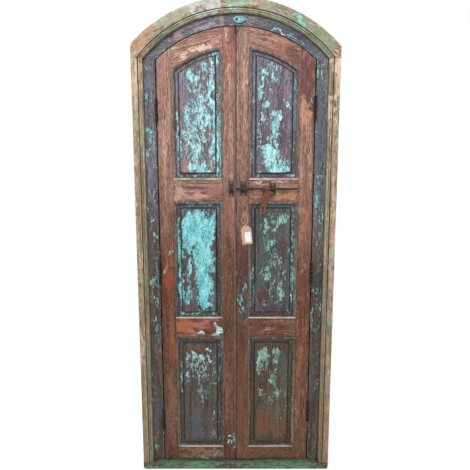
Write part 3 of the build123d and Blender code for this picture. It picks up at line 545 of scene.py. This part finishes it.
# Spots of paint that is left, in millimetres: x, z, half width, half height, share of cover
PAINT = {
    "left_top": (
        (-190, 1825, 27, 25, 0.85), (-155, 1780, 60, 85, 0.56), (-165, 1705, 48, 50, 0.76),
        (-150, 1640, 42, 55, 0.8), (-180, 1600, 28, 60, 0.68), (-213, 1600, 13, 130, 0.68),
        (-150, 1570, 40, 40, 0.58), (-170, 1530, 38, 24, 0.72), (-165, 1440, 55, 26, 0.9),
        (-185, 1475, 30, 30, 0.56), (-102, 1640, 9, 175, 1.15), (-104, 1820, 12, 60, 0.72),
        (-104, 1480, 8, 60, 0.6), (-75, 1530, 11, 160, 1.2), (-75, 1740, 9, 60, 0.6), (-258, 1560, 7, 140, 1),
        (-247, 1480, 6, 60, 0.55), (-240, 1400, 12, 12, 0.8), (-190, 1399, 30, 4, 0.8),
        (-95, 1400, 20, 10, 0.8), (-130, 1850, 34, 34, 0.62),
    ),
    "right_top": (
        (160, 1462, 52, 46, 0.72), (112, 1845, 14, 22, 0.85), (130, 1870, 12, 15, 0.55),
        (113, 1787, 12, 34, 0.92), (107, 1742, 9, 14, 0.85), (125, 1705, 15, 17, 0.75),
        (114, 1660, 11, 20, 0.85), (105, 1600, 5, 48, 0.7), (163, 1820, 9, 32, 0.85),
        (160, 1866, 14, 12, 0.5), (160, 1775, 12, 24, 0.4), (230, 1812, 6, 15, 0.55),
        (217, 1722, 10, 16, 0.75), (178, 1660, 24, 24, 0.95), (175, 1615, 22, 42, 1.2),
        (181, 1550, 7, 34, 1.2), (150, 1568, 20, 20, 0.75), (148, 1505, 38, 34, 1.15),
        (143, 1450, 22, 34, 1.1), (205, 1438, 38, 22, 1.05), (180, 1424, 55, 9, 1.1),
        (214, 1474, 14, 22, 0.65), (237, 1450, 4, 30, 0.8), (92, 1590, 3, 60, 0.6), (100, 1404, 10, 12, 0.85),
        (246, 1406, 14, 14, 0.75), (190, 1500, 10, 30, 0.42), (255, 1790, 5, 40, 0.6),
    ),
    "left_middle": (
        (-222, 1190, 16, 60, 1.1), (-108, 1140, 14, 90, 0.95), (-165, 1168, 68, 76, 1.1),
        (-150, 1050, 50, 85, 1.12), (-216, 1110, 20, 66, 1), (-148, 930, 35, 130, 1.12),
        (-148, 822, 26, 30, 1.15), (-115, 950, 15, 120, 0.6), (-104, 1180, 10, 62, 1),
        (-216, 960, 14, 100, 0.62), (-224, 860, 18, 66, 0.55), (-256, 1020, 8, 235, 1.2),
        (-238, 1160, 3, 90, 0.7), (-195, 768, 30, 6, 0.85), (-100, 765, 20, 8, 0.75),
        (-238, 776, 14, 14, 0.9), (-110, 1284, 18, 5, 0.7), (-185, 1130, 20, 18, 0.62),
    ),
    "right_middle": (
        (140, 1185, 13, 38, 0.88), (140, 1085, 7, 24, 0.66), (188, 1190, 20, 42, 0.6),
        (220, 1212, 14, 36, 0.66), (183, 1110, 18, 16, 0.9), (140, 955, 20, 36, 0.76),
        (172, 920, 8, 20, 0.62), (165, 880, 8, 18, 0.7), (210, 870, 28, 36, 0.6), (216, 930, 6, 20, 0.66),
        (176, 825, 14, 14, 0.66), (140, 830, 8, 16, 0.62), (258, 1000, 9, 220, 0.74),
        (272, 1040, 2.5, 140, 0.6), (77, 900, 5, 95, 0.9), (243, 775, 5, 12, 1), (180, 1230, 40, 14, 0.45),
        (103, 1180, 3, 25, 0.7),
    ),
    "left_bottom": (
        (-158, 553, 19, 18, 1.05), (-203, 562, 13, 22, 0.9), (-230, 550, 6, 36, 0.78),
        (-170, 520, 65, 70, 0.4), (-186, 540, 5, 30, 0.8), (-166, 516, 5, 24, 0.85), (-113, 592, 12, 16, 0.8),
        (-115, 545, 14, 18, 0.95), (-168, 460, 4, 60, 0.62), (-228, 470, 4, 60, 0.66),
        (-165, 390, 12, 36, 0.56), (-256, 470, 6, 100, 0.85), (-186, 490, 4, 22, 0.7),
    ),
    "right_bottom": (
        (128, 572, 26, 34, 0.86), (120, 530, 16, 34, 0.78), (112, 482, 12, 24, 0.62),
        (160, 500, 60, 90, 0.38), (173, 558, 5, 48, 0.95), (187, 562, 7, 46, 0.92), (198, 588, 16, 20, 0.82),
        (165, 437, 13, 20, 1.1), (189, 430, 5, 80, 0.82), (195, 385, 17, 40, 0.74), (171, 350, 3, 42, 0.66),
        (112, 380, 6, 30, 0.5), (222, 400, 8, 24, 0.5),
    ),
    "left_top_bead": ((-70, 1530, 4, 165, 1.25), (-259, 1560, 4, 145, 1), (-70, 1740, 4, 60, 0.6)),
    "right_top_bead": ((67, 1480, 4, 60, 0.6), (263, 1780, 4, 80, 0.5)),
    "left_middle_bead": ((-260, 1020, 5, 240, 1.1), (-150, 1281, 60, 4, 0.5)),
    "right_middle_bead": ((263, 1000, 4, 220, 0.75), (68, 900, 4, 100, 0.7)),
    "left_bottom_bead": ((-260, 470, 4, 110, 0.8),),
    "left_lower_rail": ((-158, 688, 13, 9, 1.2), (-96, 683, 26, 12, 1.3), (-68, 674, 12, 9, 1)),
    "left_meeting_stile": ((-10, 120, 6, 60, 0.95), (-40, 130, 14, 30, 0.4)),
    "left_bottom_rail": ((-130, 60, 60, 5, 0.7),),
    "right_meeting_stile": ((45, 880, 5, 60, 0.7), (32, 820, 16, 90, 0.42), (30, 955, 8, 40, 0.36)),
    "right_hinge_stile": ((330, 1725, 6, 12, 0.9), (287, 1190, 5, 60, 0.4)),
    "left_hinge_stile": ((-318, 985, 4, 18, 1), (-290, 1060, 5, 16, 0.7)),
    "jamb_left": (
        (-384, 1690, 13, 90, 0.46), (-386, 1594, 7, 22, 1), (-385, 1515, 7, 60, 0.85),
        (-364, 1750, 8, 60, 0.42), (-365, 1160, 14, 66, 0.5), (-363, 1225, 10, 40, 0.4),
        (-362, 930, 8, 44, 1.1), (-372, 965, 8, 30, 0.8), (-385, 1310, 10, 20, 0.5),
    ),
    "jamb_right": (
        (375, 1365, 10, 44, 0.5), (378, 1170, 4, 90, 0.66), (370, 860, 14, 50, 0.4), (392, 840, 2.5, 50, 0.9),
        (344, 760, 4, 50, 0.7), (352, 1790, 4, 30, 0.4),
    ),
    "arch_head_right": (
        (165, 2012, 16, 4, 0.9), (190, 2003, 18, 6, 1.1), (215, 1991, 18, 7, 1.2), (240, 1976, 14, 6, 1),
        (262, 1960, 12, 5, 1.1), (282, 1944, 10, 4, 1), (75, 2060, 14, 7, 0.7), (30, 2064, 10, 5, 0.5),
    ),
    "arch_head_left": ((-348, 1915, 22, 16, 0.55), (-300, 1960, 16, 10, 0.4)),
    "casing_arch_right": (
        (252, 2062, 20, 9, 0.95), (272, 2050, 22, 11, 1.1), (295, 2034, 18, 13, 1.1), (310, 2018, 8, 8, 0.7),
        (232, 2070, 10, 5, 0.7),
    ),
    "casing_arch_crown": ((-30, 2112, 18, 12, 0.6), (40, 2116, 30, 12, 0.62)),
    "sill": ((215, 22, 50, 9, 1.15), (330, 18, 40, 10, 0.9), (-380, 18, 60, 9, 0.9), (-200, 26, 130, 5, 0.8)),
}

# Stains and faded areas: a colour, its strength and its spots
TINTS = {
    "left_top": (
        ((176, 122, 114), 0.8, (-228, 1455, 22, 34, 1), (-232, 1520, 10, 30, 0.7), (-233, 1720, 6, 60, 0.7)),
        ((108, 116, 134), 0.7, (-250, 1780, 10, 90, 1), (-76, 1850, 12, 60, 0.9), (-215, 1790, 20, 30, 0.8)),
        ((44, 84, 74), 1, (-165, 1400, 110, 10, 1.2), (-88, 1720, 4, 60, 0.8)),
        ((148, 128, 118), 0.7, (-123, 1620, 4, 90, 1), (-112, 1480, 12, 40, 0.8)),
    ),
    "right_top": (
        ((94, 66, 72), 0.7, (125, 1600, 16, 45, 1), (225, 1560, 14, 120, 0.9), (190, 1400, 60, 10, 1)),
        ((118, 126, 142), 0.6, (78, 1820, 14, 110, 1), (255, 1700, 8, 160, 0.8)),
        ((196, 196, 200), 0.8, (72, 1760, 2.5, 70, 1), (72, 1500, 2.5, 40, 0.8)),
    ),
    "left_middle": (
        ((74, 44, 44), 0.85, (-82, 1010, 9, 220, 1), (-203, 960, 6, 90, 1), (-176, 795, 18, 14, 1)),
        ((104, 110, 128), 0.8, (-170, 1266, 100, 9, 1), (-90, 830, 12, 60, 0.5)),
        ((86, 120, 90), 0.6, (-175, 760, 90, 8, 1)),
    ),
    "right_middle": (
        ((80, 46, 44), 0.8, (125, 860, 26, 50, 1), (215, 1060, 22, 60, 0.9), (165, 800, 70, 20, 0.8)),
        ((92, 104, 116), 0.75, (170, 1268, 100, 14, 1), (265, 1230, 8, 50, 0.8)),
        ((58, 82, 78), 0.8, (258, 1000, 10, 230, 1), (120, 1120, 30, 130, 0.5)),
    ),
    "left_bottom": (
        ((112, 62, 44), 0.8, (-175, 596, 65, 14, 1), (-140, 505, 24, 12, 0.9), (-135, 165, 25, 20, 0.5)),
        ((82, 92, 98), 0.75, (-170, 640, 100, 10, 1), (-190, 220, 26, 90, 0.9), (-85, 520, 12, 90, 0.8)),
        ((66, 78, 74), 0.8, (-170, 128, 95, 12, 1), (-240, 260, 12, 140, 0.7)),
        ((84, 66, 96), 0.5, (-150, 635, 22, 10, 1)),
    ),
    "right_bottom": (
        ((122, 78, 44), 0.6, (130, 230, 40, 90, 1), (215, 190, 30, 60, 0.8), (80, 300, 12, 150, 0.8)),
        ((82, 92, 90), 0.75, (165, 638, 100, 12, 1), (250, 470, 14, 140, 0.9), (215, 520, 20, 70, 0.7)),
        ((98, 98, 78), 0.7, (195, 285, 16, 80, 1)),
        ((66, 64, 56), 0.8, (165, 128, 95, 12, 1)),
        ((104, 52, 40), 0.7, (163, 480, 12, 26, 1)),
    ),
    "left_top_rail": (
        ((222, 200, 184), 0.75, (-140, 1945, 62, 16, 1), (-215, 1912, 22, 16, 0.8), (-80, 1985, 20, 8, 0.6)),
        ((176, 128, 120), 0.6, (-90, 1975, 40, 26, 1)),
    ),
    "right_top_rail": (
        ((150, 128, 114), 0.6, (95, 1985, 40, 30, 1)),
        ((150, 96, 80), 0.7, (210, 1935, 60, 24, 1)),
        ((92, 64, 62), 0.7, (255, 1905, 40, 30, 1.2), (130, 1985, 30, 12, 1)),
        ((118, 76, 78), 0.7, (268, 1880, 20, 50, 1)),
    ),
    "left_meeting_stile": (
        ((116, 78, 82), 0.9, (-28, 1996, 24, 28, 1.3)),
        ((146, 94, 84), 0.7, (-30, 1925, 26, 46, 1), (-30, 1470, 16, 40, 0.8), (-30, 1220, 24, 90, 0.9)),
        ((130, 74, 60), 0.5, (-30, 1010, 14, 110, 1), (-28, 500, 9, 90, 1)),
    ),
    "right_meeting_stile": (
        ((136, 112, 102), 0.7, (30, 1990, 30, 40, 1), (36, 1730, 14, 36, 0.8)),
        ((74, 40, 44), 0.85, (10, 1998, 8, 12, 1.2)),
        ((214, 186, 172), 0.7, (40, 1796, 8, 28, 1.1)),
        ((78, 50, 44), 0.8, (25, 1010, 34, 110, 1.2), (30, 640, 28, 70, 0.9)),
        ((60, 62, 56), 0.9, (36, 830, 24, 110, 1.3)),
        ((104, 66, 42), 0.75, (28, 350, 34, 280, 1.3)),
    ),
    "left_hinge_stile": (
        ((152, 112, 108), 0.7, (-310, 1840, 34, 70, 1)),
        ((160, 84, 52), 0.55, (-305, 600, 22, 70, 1.1), (-305, 970, 26, 120, 0.8)),
        ((128, 96, 76), 0.6, (-305, 300, 30, 190, 1)),
    ),
    "right_hinge_stile": (
        ((98, 62, 60), 0.95, (310, 1840, 46, 110, 1.5), (326, 1720, 24, 80, 1.3)),
        ((198, 148, 118), 0.7, (300, 1690, 18, 60, 1)),
        ((150, 86, 66), 0.65, (308, 1345, 28, 36, 1.1), (322, 700, 16, 60, 0.7)),
        ((178, 116, 84), 0.6, (310, 1200, 12, 90, 1)),
        ((104, 60, 52), 0.7, (310, 880, 28, 110, 1)),
        ((206, 156, 136), 0.8, (312, 975, 2.5, 20, 1.2), (320, 1008, 2.5, 20, 1.2)),
    ),
    "left_lock_rail": (
        ((196, 160, 140), 0.7, (-170, 1320, 70, 20, 1), (-255, 1318, 18, 20, 1)),
        ((150, 104, 98), 0.7, (-100, 1350, 36, 34, 1)),
    ),
    "right_lock_rail": (
        ((214, 190, 168), 0.8, (108, 1366, 36, 7, 1.2), (215, 1368, 34, 5, 0.8)),
        ((186, 132, 98), 0.7, (225, 1318, 44, 18, 1)),
        ((104, 70, 72), 0.7, (135, 1326, 30, 14, 1), (105, 1345, 14, 12, 0.8)),
    ),
    "left_lower_rail": (
        ((178, 108, 66), 0.75, (-240, 705, 50, 42, 1.1), (-180, 720, 30, 20, 0.7)),
        ((186, 128, 112), 0.6, (-140, 720, 50, 22, 1), (-200, 676, 20, 12, 1)),
        ((178, 76, 62), 0.7, (-132, 712, 14, 10, 1)),
        ((96, 46, 44), 0.8, (-95, 708, 40, 5, 1), (-135, 668, 30, 5, 1)),
    ),
    "right_lower_rail": (
        ((78, 46, 38), 0.8, (90, 695, 34, 34, 1.2), (190, 690, 80, 30, 1.1)),
        ((132, 72, 60), 0.6, (82, 695, 16, 30, 1), (180, 690, 30, 22, 0.7)),
        (
            (178, 138, 116), 0.85, (122, 674, 11, 4, 1.2), (136, 684, 6, 7, 1.2), (146, 696, 6, 7, 1.2),
            (158, 707, 9, 4, 1.2),
        ),
        ((150, 116, 98), 0.7, (230, 675, 22, 5, 1), (255, 690, 18, 4, 0.8)),
    ),
    "left_bottom_rail": (
        ((158, 118, 96), 0.6, (-165, 85, 100, 16, 1)),
        ((116, 128, 106), 0.75, (-150, 52, 120, 9, 1.1)),
    ),
    "right_bottom_rail": (
        ((126, 80, 50), 0.6, (170, 80, 110, 20, 1)),
        ((92, 96, 74), 0.75, (170, 46, 120, 8, 1)),
    ),
    "jamb_left": (
        ((136, 98, 82), 0.7, (-384, 1885, 16, 14, 1), (-378, 620, 16, 60, 0.5)),
        ((112, 108, 124), 0.6, (-368, 1420, 22, 90, 1), (-362, 1800, 16, 60, 0.8)),
        ((98, 62, 60), 0.7, (-380, 985, 12, 60, 1), (-372, 700, 14, 40, 0.6), (-375, 85, 12, 20, 1)),
        ((60, 70, 56), 0.8, (-392, 70, 10, 50, 1.1), (-375, 35, 40, 8, 1)),
    ),
    "jamb_right": (
        ((92, 104, 118), 0.7, (368, 1680, 16, 100, 1), (370, 1500, 16, 90, 0.8), (370, 1330, 18, 60, 0.8)),
        ((112, 84, 100), 0.6, (362, 1240, 12, 60, 1), (360, 1830, 20, 40, 0.6)),
        ((104, 58, 54), 0.7, (362, 1090, 8, 40, 1), (372, 780, 14, 24, 1)),
        ((60, 62, 54), 0.8, (370, 920, 26, 90, 1), (372, 310, 22, 60, 1.1)),
        ((84, 96, 76), 0.8, (370, 48, 34, 16, 1)),
    ),
    "arch_head_left": (
        ((172, 164, 178), 0.7, (-115, 2030, 50, 16, 1), (-175, 2022, 16, 16, 0.8)),
        ((166, 136, 128), 0.7, (-60, 2046, 16, 14, 1), (-258, 1985, 30, 16, 1)),
        ((84, 110, 116), 0.7, (-345, 1925, 26, 24, 1), (-318, 1950, 20, 16, 0.8)),
        ((92, 66, 76), 0.6, (-292, 1980, 14, 12, 1)),
    ),
    "arch_head_right": (
        ((112, 96, 94), 0.7, (-10, 2050, 30, 20, 1), (60, 2048, 26, 16, 1)),
        ((156, 140, 134), 0.7, (52, 2052, 8, 12, 1)),
        ((78, 84, 96), 0.75, (190, 2012, 90, 34, 1.3), (300, 1945, 50, 40, 1)),
        ((104, 70, 84), 0.6, (200, 2018, 30, 12, 1)),
    ),
    "casing_arch_left": (
        ((176, 136, 102), 0.6, (-390, 1975, 50, 40, 1), (-420, 1925, 26, 30, 1)),
        ((156, 160, 138), 0.75, (-290, 2045, 56, 34, 1.3), (-235, 2080, 50, 26, 1.2)),
        ((188, 192, 188), 0.85, (-150, 2106, 100, 34, 1.5)),
        ((98, 144, 108), 0.75, (-235, 2030, 46, 10, 1), (-330, 1965, 20, 26, 0.8), (-180, 2055, 30, 8, 0.8)),
        ((122, 112, 108), 0.5, (-165, 2098, 30, 12, 0.8), (-110, 2112, 12, 8, 0.8)),
    ),
    "casing_arch_crown": (
        ((144, 176, 156), 0.85, (5, 2116, 90, 24, 1.5)),
        ((172, 138, 118), 0.6, (0, 2088, 80, 7, 1)),
    ),
    "casing_arch_right": (
        ((144, 150, 126), 0.8, (150, 2105, 70, 26, 1.3), (380, 1970, 50, 44, 1.1), (300, 2030, 60, 30, 1)),
        ((160, 136, 108), 0.7, (225, 2088, 36, 14, 1), (340, 2010, 24, 16, 0.8)),
        ((104, 142, 106), 0.85, (170, 2062, 50, 12, 1), (240, 2028, 22, 14, 1), (345, 2000, 20, 20, 0.8)),
        ((114, 146, 122), 0.9, (272, 2044, 56, 34, 1.4), (390, 1945, 30, 26, 0.8)),
    ),
    "casing_left": (
        ((206, 174, 142), 0.6, (-432, 1820, 18, 110, 1), (-432, 620, 16, 110, 0.8)),
        ((148, 162, 130), 0.75, (-420, 1650, 12, 60, 1), (-434, 1120, 16, 90, 1), (-424, 1190, 10, 30, 1)),
        ((124, 160, 122), 0.85, (-440, 850, 9, 70, 1.1), (-436, 960, 10, 40, 1), (-405, 60, 8, 50, 0.9)),
        ((150, 104, 70), 0.6, (-412, 950, 8, 70, 1), (-422, 1420, 14, 60, 0.8), (-436, 1915, 12, 18, 1)),
    ),
    "casing_right": (
        ((212, 190, 168), 0.9, (426, 1860, 30, 90, 1.5), (428, 1740, 16, 150, 1), (425, 1250, 12, 120, 0.7)),
        ((150, 176, 142), 0.8, (438, 1520, 8, 80, 1), (440, 1270, 9, 60, 1), (440, 1050, 10, 44, 1.1)),
        ((124, 164, 128), 0.85, (434, 890, 11, 60, 0.9), (438, 765, 12, 34, 1.2), (432, 430, 14, 60, 1)),
        ((170, 122, 78), 0.7, (430, 320, 14, 40, 1), (425, 180, 14, 110, 0.9), (410, 640, 8, 80, 0.8)),
        ((168, 126, 120), 0.6, (412, 900, 6, 120, 1), (424, 1130, 8, 60, 0.8)),
        ((128, 106, 78), 0.6, (426, 520, 22, 150, 1.1), (426, 260, 20, 120, 0.8)),
    ),
    "sill": (
        ((100, 84, 66), 0.8, (-250, 12, 120, 7, 1), (100, 20, 60, 8, 1), (20, 5, 200, 5, 0.8)),
        ((84, 110, 88), 0.8, (-60, 28, 240, 8, 1.2), (200, 30, 120, 6, 1)),
    ),
}


def dress(node, material):
    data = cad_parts[node].data
    data.materials.clear()
    data.materials.append(material)


# Worn arrises: the edges of the timber catch the light instead of ending sharp
def wear_edges(node, width):
    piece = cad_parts[node]
    weld = piece.modifiers.new("weld", "WELD")
    weld.merge_threshold = 0.00002
    bevel = piece.modifiers.new("worn edge", "BEVEL")
    bevel.width = width
    bevel.segments = 2
    bevel.limit_method = "ANGLE"
    bevel.angle_limit = radians(40)
    bevel.harden_normals = True


def wear_timber():
    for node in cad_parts:
        if node.endswith(("_stile", "_rail")) or node.startswith(("jamb_", "casing_", "arch_head_")):
            wear_edges(node, 0.0009)
    wear_edges("sill", 0.002)


def dress_leaves():
    members = ("hinge_stile", "meeting_stile", "bottom_rail", "lower_rail", "lock_rail", "top_rail")
    for side, first_seed in zip(SIDES, (10, 30)):
        for index, member in enumerate(members):
            node = f"{side}_{member}"
            along = "z" if member.endswith("stile") else "x"
            dress(node, leaf_wood(node, first_seed + index, along))
        for index, level in enumerate(LEVELS):
            name = f"{side}_{level}"
            dress(name + "_panel", panel_wood(name, first_seed + 7 + index))
            dress(name + "_bead", bead_wood(name, first_seed + 11 + index))


def dress_frame():
    for index, side in enumerate(SIDES):
        dress(f"jamb_{side}", frame_wood(f"jamb_{side}", 50 + index, "z"))
        dress(f"arch_head_{side}", frame_wood(f"arch_head_{side}", 52 + index, "x"))
        dress(f"casing_{side}", casing_wood(f"casing_{side}", 54 + index, "z"))
    for index, name in enumerate(("casing_arch_left", "casing_arch_crown", "casing_arch_right")):
        dress(name, casing_wood(name, 56 + index, "x"))
    dress("sill", sill_wood())


def dress_iron():
    hinge = iron("hinge", 1, 0.15, (18, 15, 15), (50, 42, 40))
    plain = iron("plain", 2, 0.3, (26, 21, 21), (78, 64, 60))
    # Nail heads with a painted glint: their light tone is near white
    glint_heads = iron("glint_heads", 3, 0.1, (52, 42, 40), (176, 160, 154))
    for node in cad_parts:
        if node.endswith("flap") or node == "hinge_pins":
            dress(node, hinge)
        elif node.endswith("nails"):
            dress(node, glint_heads)
    for node in ("bolt_rod", "staple", "turn_button_pin"):
        dress(node, plain)
    for index, node in enumerate(("bolt_keeper", "bolt_bracket_inner", "bolt_bracket_outer")):
        dress(node, iron(node, 5 + index, 0.35, (13, 10, 10), (42, 33, 33)))
    dress("hasp", iron("hasp", 9, 1.1))
    dress("frame_nails", frame_nail())


def add_object(name, data):
    new = bpy.data.objects.new(name, data)
    bpy.context.scene.collection.objects.link(new)
    return new


def mesh_piece(name, points, faces, material, body):
    data = bpy.data.meshes.new(name)
    data.from_pydata(points, [], faces)
    data.update()
    piece = add_object(name, data)
    data.materials.append(material)
    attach(piece, body)
    return piece


# Surface of the turn button, front and back, each a grid of runs along it and rows across
def button_points(low, high, runs, rows):
    edge_share, dome_share = 0.3, 0.7
    ridge_depth, ridge_spacing, ridge_slant = 0.0013, 0.0115, 0.35
    length = high.x - low.x
    middle = (low.z + high.z) / 2
    widest = (high.z - low.z) / 2
    thickness = high.y - low.y
    points = []
    for front in (True, False):
        for run in range(runs + 1):
            share = 0.004 + 0.992 * run / runs
            wide = widest * sin(pi * share**0.756) ** 0.85
            for row in range(rows + 1):
                across = 2 * row / rows - 1
                y = high.y
                if front:
                    dome = max(0.0, 1 - abs(across) ** 2.6) ** 0.5
                    ends = min(1.0, wide / (0.55 * widest))
                    turns = (share * length - ridge_slant * across * wide) / ridge_spacing
                    ridge = 0.5 + 0.5 * cos(2 * pi * turns)
                    y -= thickness * (edge_share + dome_share * dome * ends) - ridge_depth * ridge * dome
                points.append((low.x + length * share, y, middle + wide * across))
    return points


# Faces of its front and back, and of the rim that joins them
def button_faces(runs, rows):
    size = (runs + 1) * (rows + 1)
    faces = []
    for run in range(runs):
        for row in range(rows):
            a = run * (rows + 1) + row
            b = a + rows + 1
            faces.append((a, b, b + 1, a + 1))
            faces.append((size + a, size + a + 1, size + b + 1, size + b))
    rim = [run * (rows + 1) for run in range(runs + 1)]
    rim += [runs * (rows + 1) + row for row in range(1, rows + 1)]
    rim += [run * (rows + 1) + rows for run in range(runs - 1, -1, -1)]
    rim += [row for row in range(rows - 1, 0, -1)]
    for a, b in zip(rim, rim[1:] + rim[:1]):
        faces.append((a, size + a, size + b, b))
    return faces


def drilled(piece, centre, radius):
    """Cuts a round hole through a piece, from front to back."""
    drill = bmesh.new()
    turn = Matrix.Translation(centre) @ Matrix.Rotation(pi / 2, 4, "X")
    bmesh.ops.create_cone(
        drill, cap_ends=True, segments=32, radius1=radius, radius2=radius, depth=0.03, matrix=turn,
    )
    tool_data = bpy.data.meshes.new("drill")
    drill.to_mesh(tool_data)
    drill.free()
    tool = add_object("drill", tool_data)
    hole = piece.modifiers.new("hole", "BOOLEAN")
    hole.object = tool
    hole.operation = "DIFFERENCE"
    bpy.context.view_layer.update()
    graph = bpy.context.evaluated_depsgraph_get()
    result = bpy.data.meshes.new_from_object(piece.evaluated_get(graph))
    piece.modifiers.clear()
    piece.data = result
    bpy.data.objects.remove(tool)


# Turn button: a leaf carved by hand, ridged across and rounded to its edge, with a hole for its pin
def make_button():
    low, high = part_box("turn_button")
    pin_x = (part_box("turn_button_pin")[0].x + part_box("turn_button_pin")[1].x) / 2
    hole_radius = 0.00245
    runs, rows = 72, 24
    points = button_points(low, high, runs, rows)
    faces = button_faces(runs, rows)
    button = mesh_piece("carved_button", points, faces, button_paint(), "turn_button")
    shape = bmesh.new()
    shape.from_mesh(button.data)
    bmesh.ops.recalc_face_normals(shape, faces=shape.faces)
    shape.to_mesh(button.data)
    shape.free()
    for face in button.data.polygons:
        face.use_smooth = True
    drilled(button, (pin_x, (low.y + high.y) / 2, (low.z + high.z) / 2), hole_radius)
    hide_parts("turn_button")


# Label on the tag: a bare white slip, tilted with it
def make_label():
    centre_x, centre_z, tilt = 0.0548, 1.1305, radians(6)
    half_wide, half_high = 0.0128, 0.0228
    front, back = -0.0268, -0.0266
    points = []
    for y in (front, back):
        for across, up in ((-1, -1), (1, -1), (1, 1), (-1, 1)):
            x, z = across * half_wide, up * half_high
            points.append(
                (centre_x + x * cos(tilt) - z * sin(tilt), y, centre_z + x * sin(tilt) + z * cos(tilt)),
            )
    faces = [(0, 1, 2, 3), (7, 6, 5, 4), (1, 0, 4, 5), (2, 1, 5, 6), (3, 2, 6, 7), (0, 3, 7, 4)]
    label = mesh_piece("tag_label", points, faces, label_paper(), "right_leaf")


# String of the tag: one loop over the lower leg of the staple, tied at the tag's top. Its route is in
# millimetres from the middle of that leg
def make_string():
    leg_x, leg_z = 0.0403, 1.2495
    string_y = -0.0262
    route = (
        (3.2, -67.66), (2.5, -61.5), (-7.5, -56), (-15.3, -45), (-10.5, -28), (-4.8, -11), (-3.6, 3.4),
        (3.6, 3.4), (5.6, -10.5), (11.5, -27), (15.5, -44), (12, -55.5), (5.6, -61.3), (6.2, -67.34),
    )
    curve = bpy.data.curves.new("cotton_loop", "CURVE")
    curve.dimensions = "3D"
    curve.bevel_depth = 0.0008
    curve.bevel_resolution = 3
    curve.resolution_u = 12
    spline = curve.splines.new("NURBS")
    spline.points.add(len(route) - 1)
    for point, (x, z) in zip(spline.points, route):
        point.co = (leg_x + x / 1000, string_y, leg_z + z / 1000, 1)
    spline.order_u = 3
    spline.use_endpoint_u = True
    string = add_object("cotton_loop", curve)
    curve.materials.append(cotton())
    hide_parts("tag_string")
    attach(string, "right_leaf")


# White floor that runs out into the white backdrop, with a soft shadow under the object
def make_stage():
    reach = 14
    fade_from, fade_to = 0.7, 2.6
    grey, glow = 0.88, 0.36
    shader = Shader("floor")
    ray = shader.node("ShaderNodeLightPath")
    seen = shader.most([ray.outputs["Is Camera Ray"], ray.outputs["Is Glossy Ray"]])
    away = shader.vector("LENGTH", shader.vector("MULTIPLY", shader.place, (1, 1, 0)))
    far = shader.times(shader.step(away, fade_from, fade_to), seen)
    base = shader.node("ShaderNodeBsdfDiffuse", {"Color": (grey, grey, grey, 1)})
    lift = shader.node("ShaderNodeEmission", {"Strength": shader.times(seen, glow)})
    near = shader.node("ShaderNodeAddShader", {0: base.outputs[0], 1: lift.outputs[0]})
    white = shader.node("ShaderNodeEmission")
    both = shader.node("ShaderNodeMixShader", {0: far, 1: near.outputs[0], 2: white.outputs[0]})
    shader.node("ShaderNodeOutputMaterial", {"Surface": both.outputs[0]}, target="ALL")
    corners = [(-reach, -reach, 0), (reach, -reach, 0), (reach, reach, 0), (-reach, reach, 0)]
    data = bpy.data.meshes.new("floor")
    data.from_pydata(corners, [], [(0, 1, 2, 3)])
    data.materials.append(shader.material)
    floor = add_object("floor", data)


# Camera of the photograph, a little above the bolt, looking slightly down
def make_camera():
    frame_px, focal_px = 470, 397
    eye = (-0.0036, -1.80405, 1.3745)
    looking_down = 7.511
    data = bpy.data.cameras.new("camera")
    data.sensor_width = 36
    data.lens = data.sensor_width * focal_px / frame_px
    camera = add_object("camera", data)
    camera.location = eye
    camera.rotation_euler = (radians(90 - looking_down), 0, 0)
    bpy.context.scene.camera = camera


# Soft light from all round, which looks white where it is seen directly
def make_world():
    soft_strength = 0.52
    world = bpy.data.worlds.new("studio")
    world.use_nodes = True
    tree = world.node_tree
    tree.nodes.clear()
    ray = add_node(tree, "ShaderNodeLightPath")
    seen = add_node(
        tree, "ShaderNodeMath", {0: ray.outputs["Is Camera Ray"], 1: ray.outputs["Is Glossy Ray"]},
        operation="MAXIMUM",
    )
    strength = add_node(tree, "ShaderNodeMapRange", {"Value": seen.outputs[0], "To Min": soft_strength})
    light = add_node(tree, "ShaderNodeBackground", {0: (1, 1, 1, 1), 1: strength.outputs[0]})
    add_node(tree, "ShaderNodeOutputWorld", {0: light.outputs[0]})
    bpy.context.scene.world = world


# Lamps: place, size in metres and power in watts
LAMPS = {
    "key": ((-0.8, -1.9, 3.3), 1.3, 66),
    "fill": ((1.6, -2.6, 1.6), 2.0, 18),
    "back": ((0.9, 3.0, 2.6), 2.4, 50),
}


def make_lamps():
    target = Vector((0, 0, 1.1))
    for name, (place, size, power) in LAMPS.items():
        data = bpy.data.lights.new(name, "AREA")
        data.size = size
        data.energy = power
        lamp = add_object(name, data)
        lamp.location = place
        lamp.rotation_euler = (target - Vector(place)).to_track_quat("-Z", "Y").to_euler()


make_camera()
make_string()
make_button()
make_label()
dress_leaves()
dress_frame()
dress_iron()
wear_timber()
dress("hang_tag", kraft_card())
make_stage()
make_world()
make_lamps()
bpy.context.scene.view_settings.view_transform = "Standard"
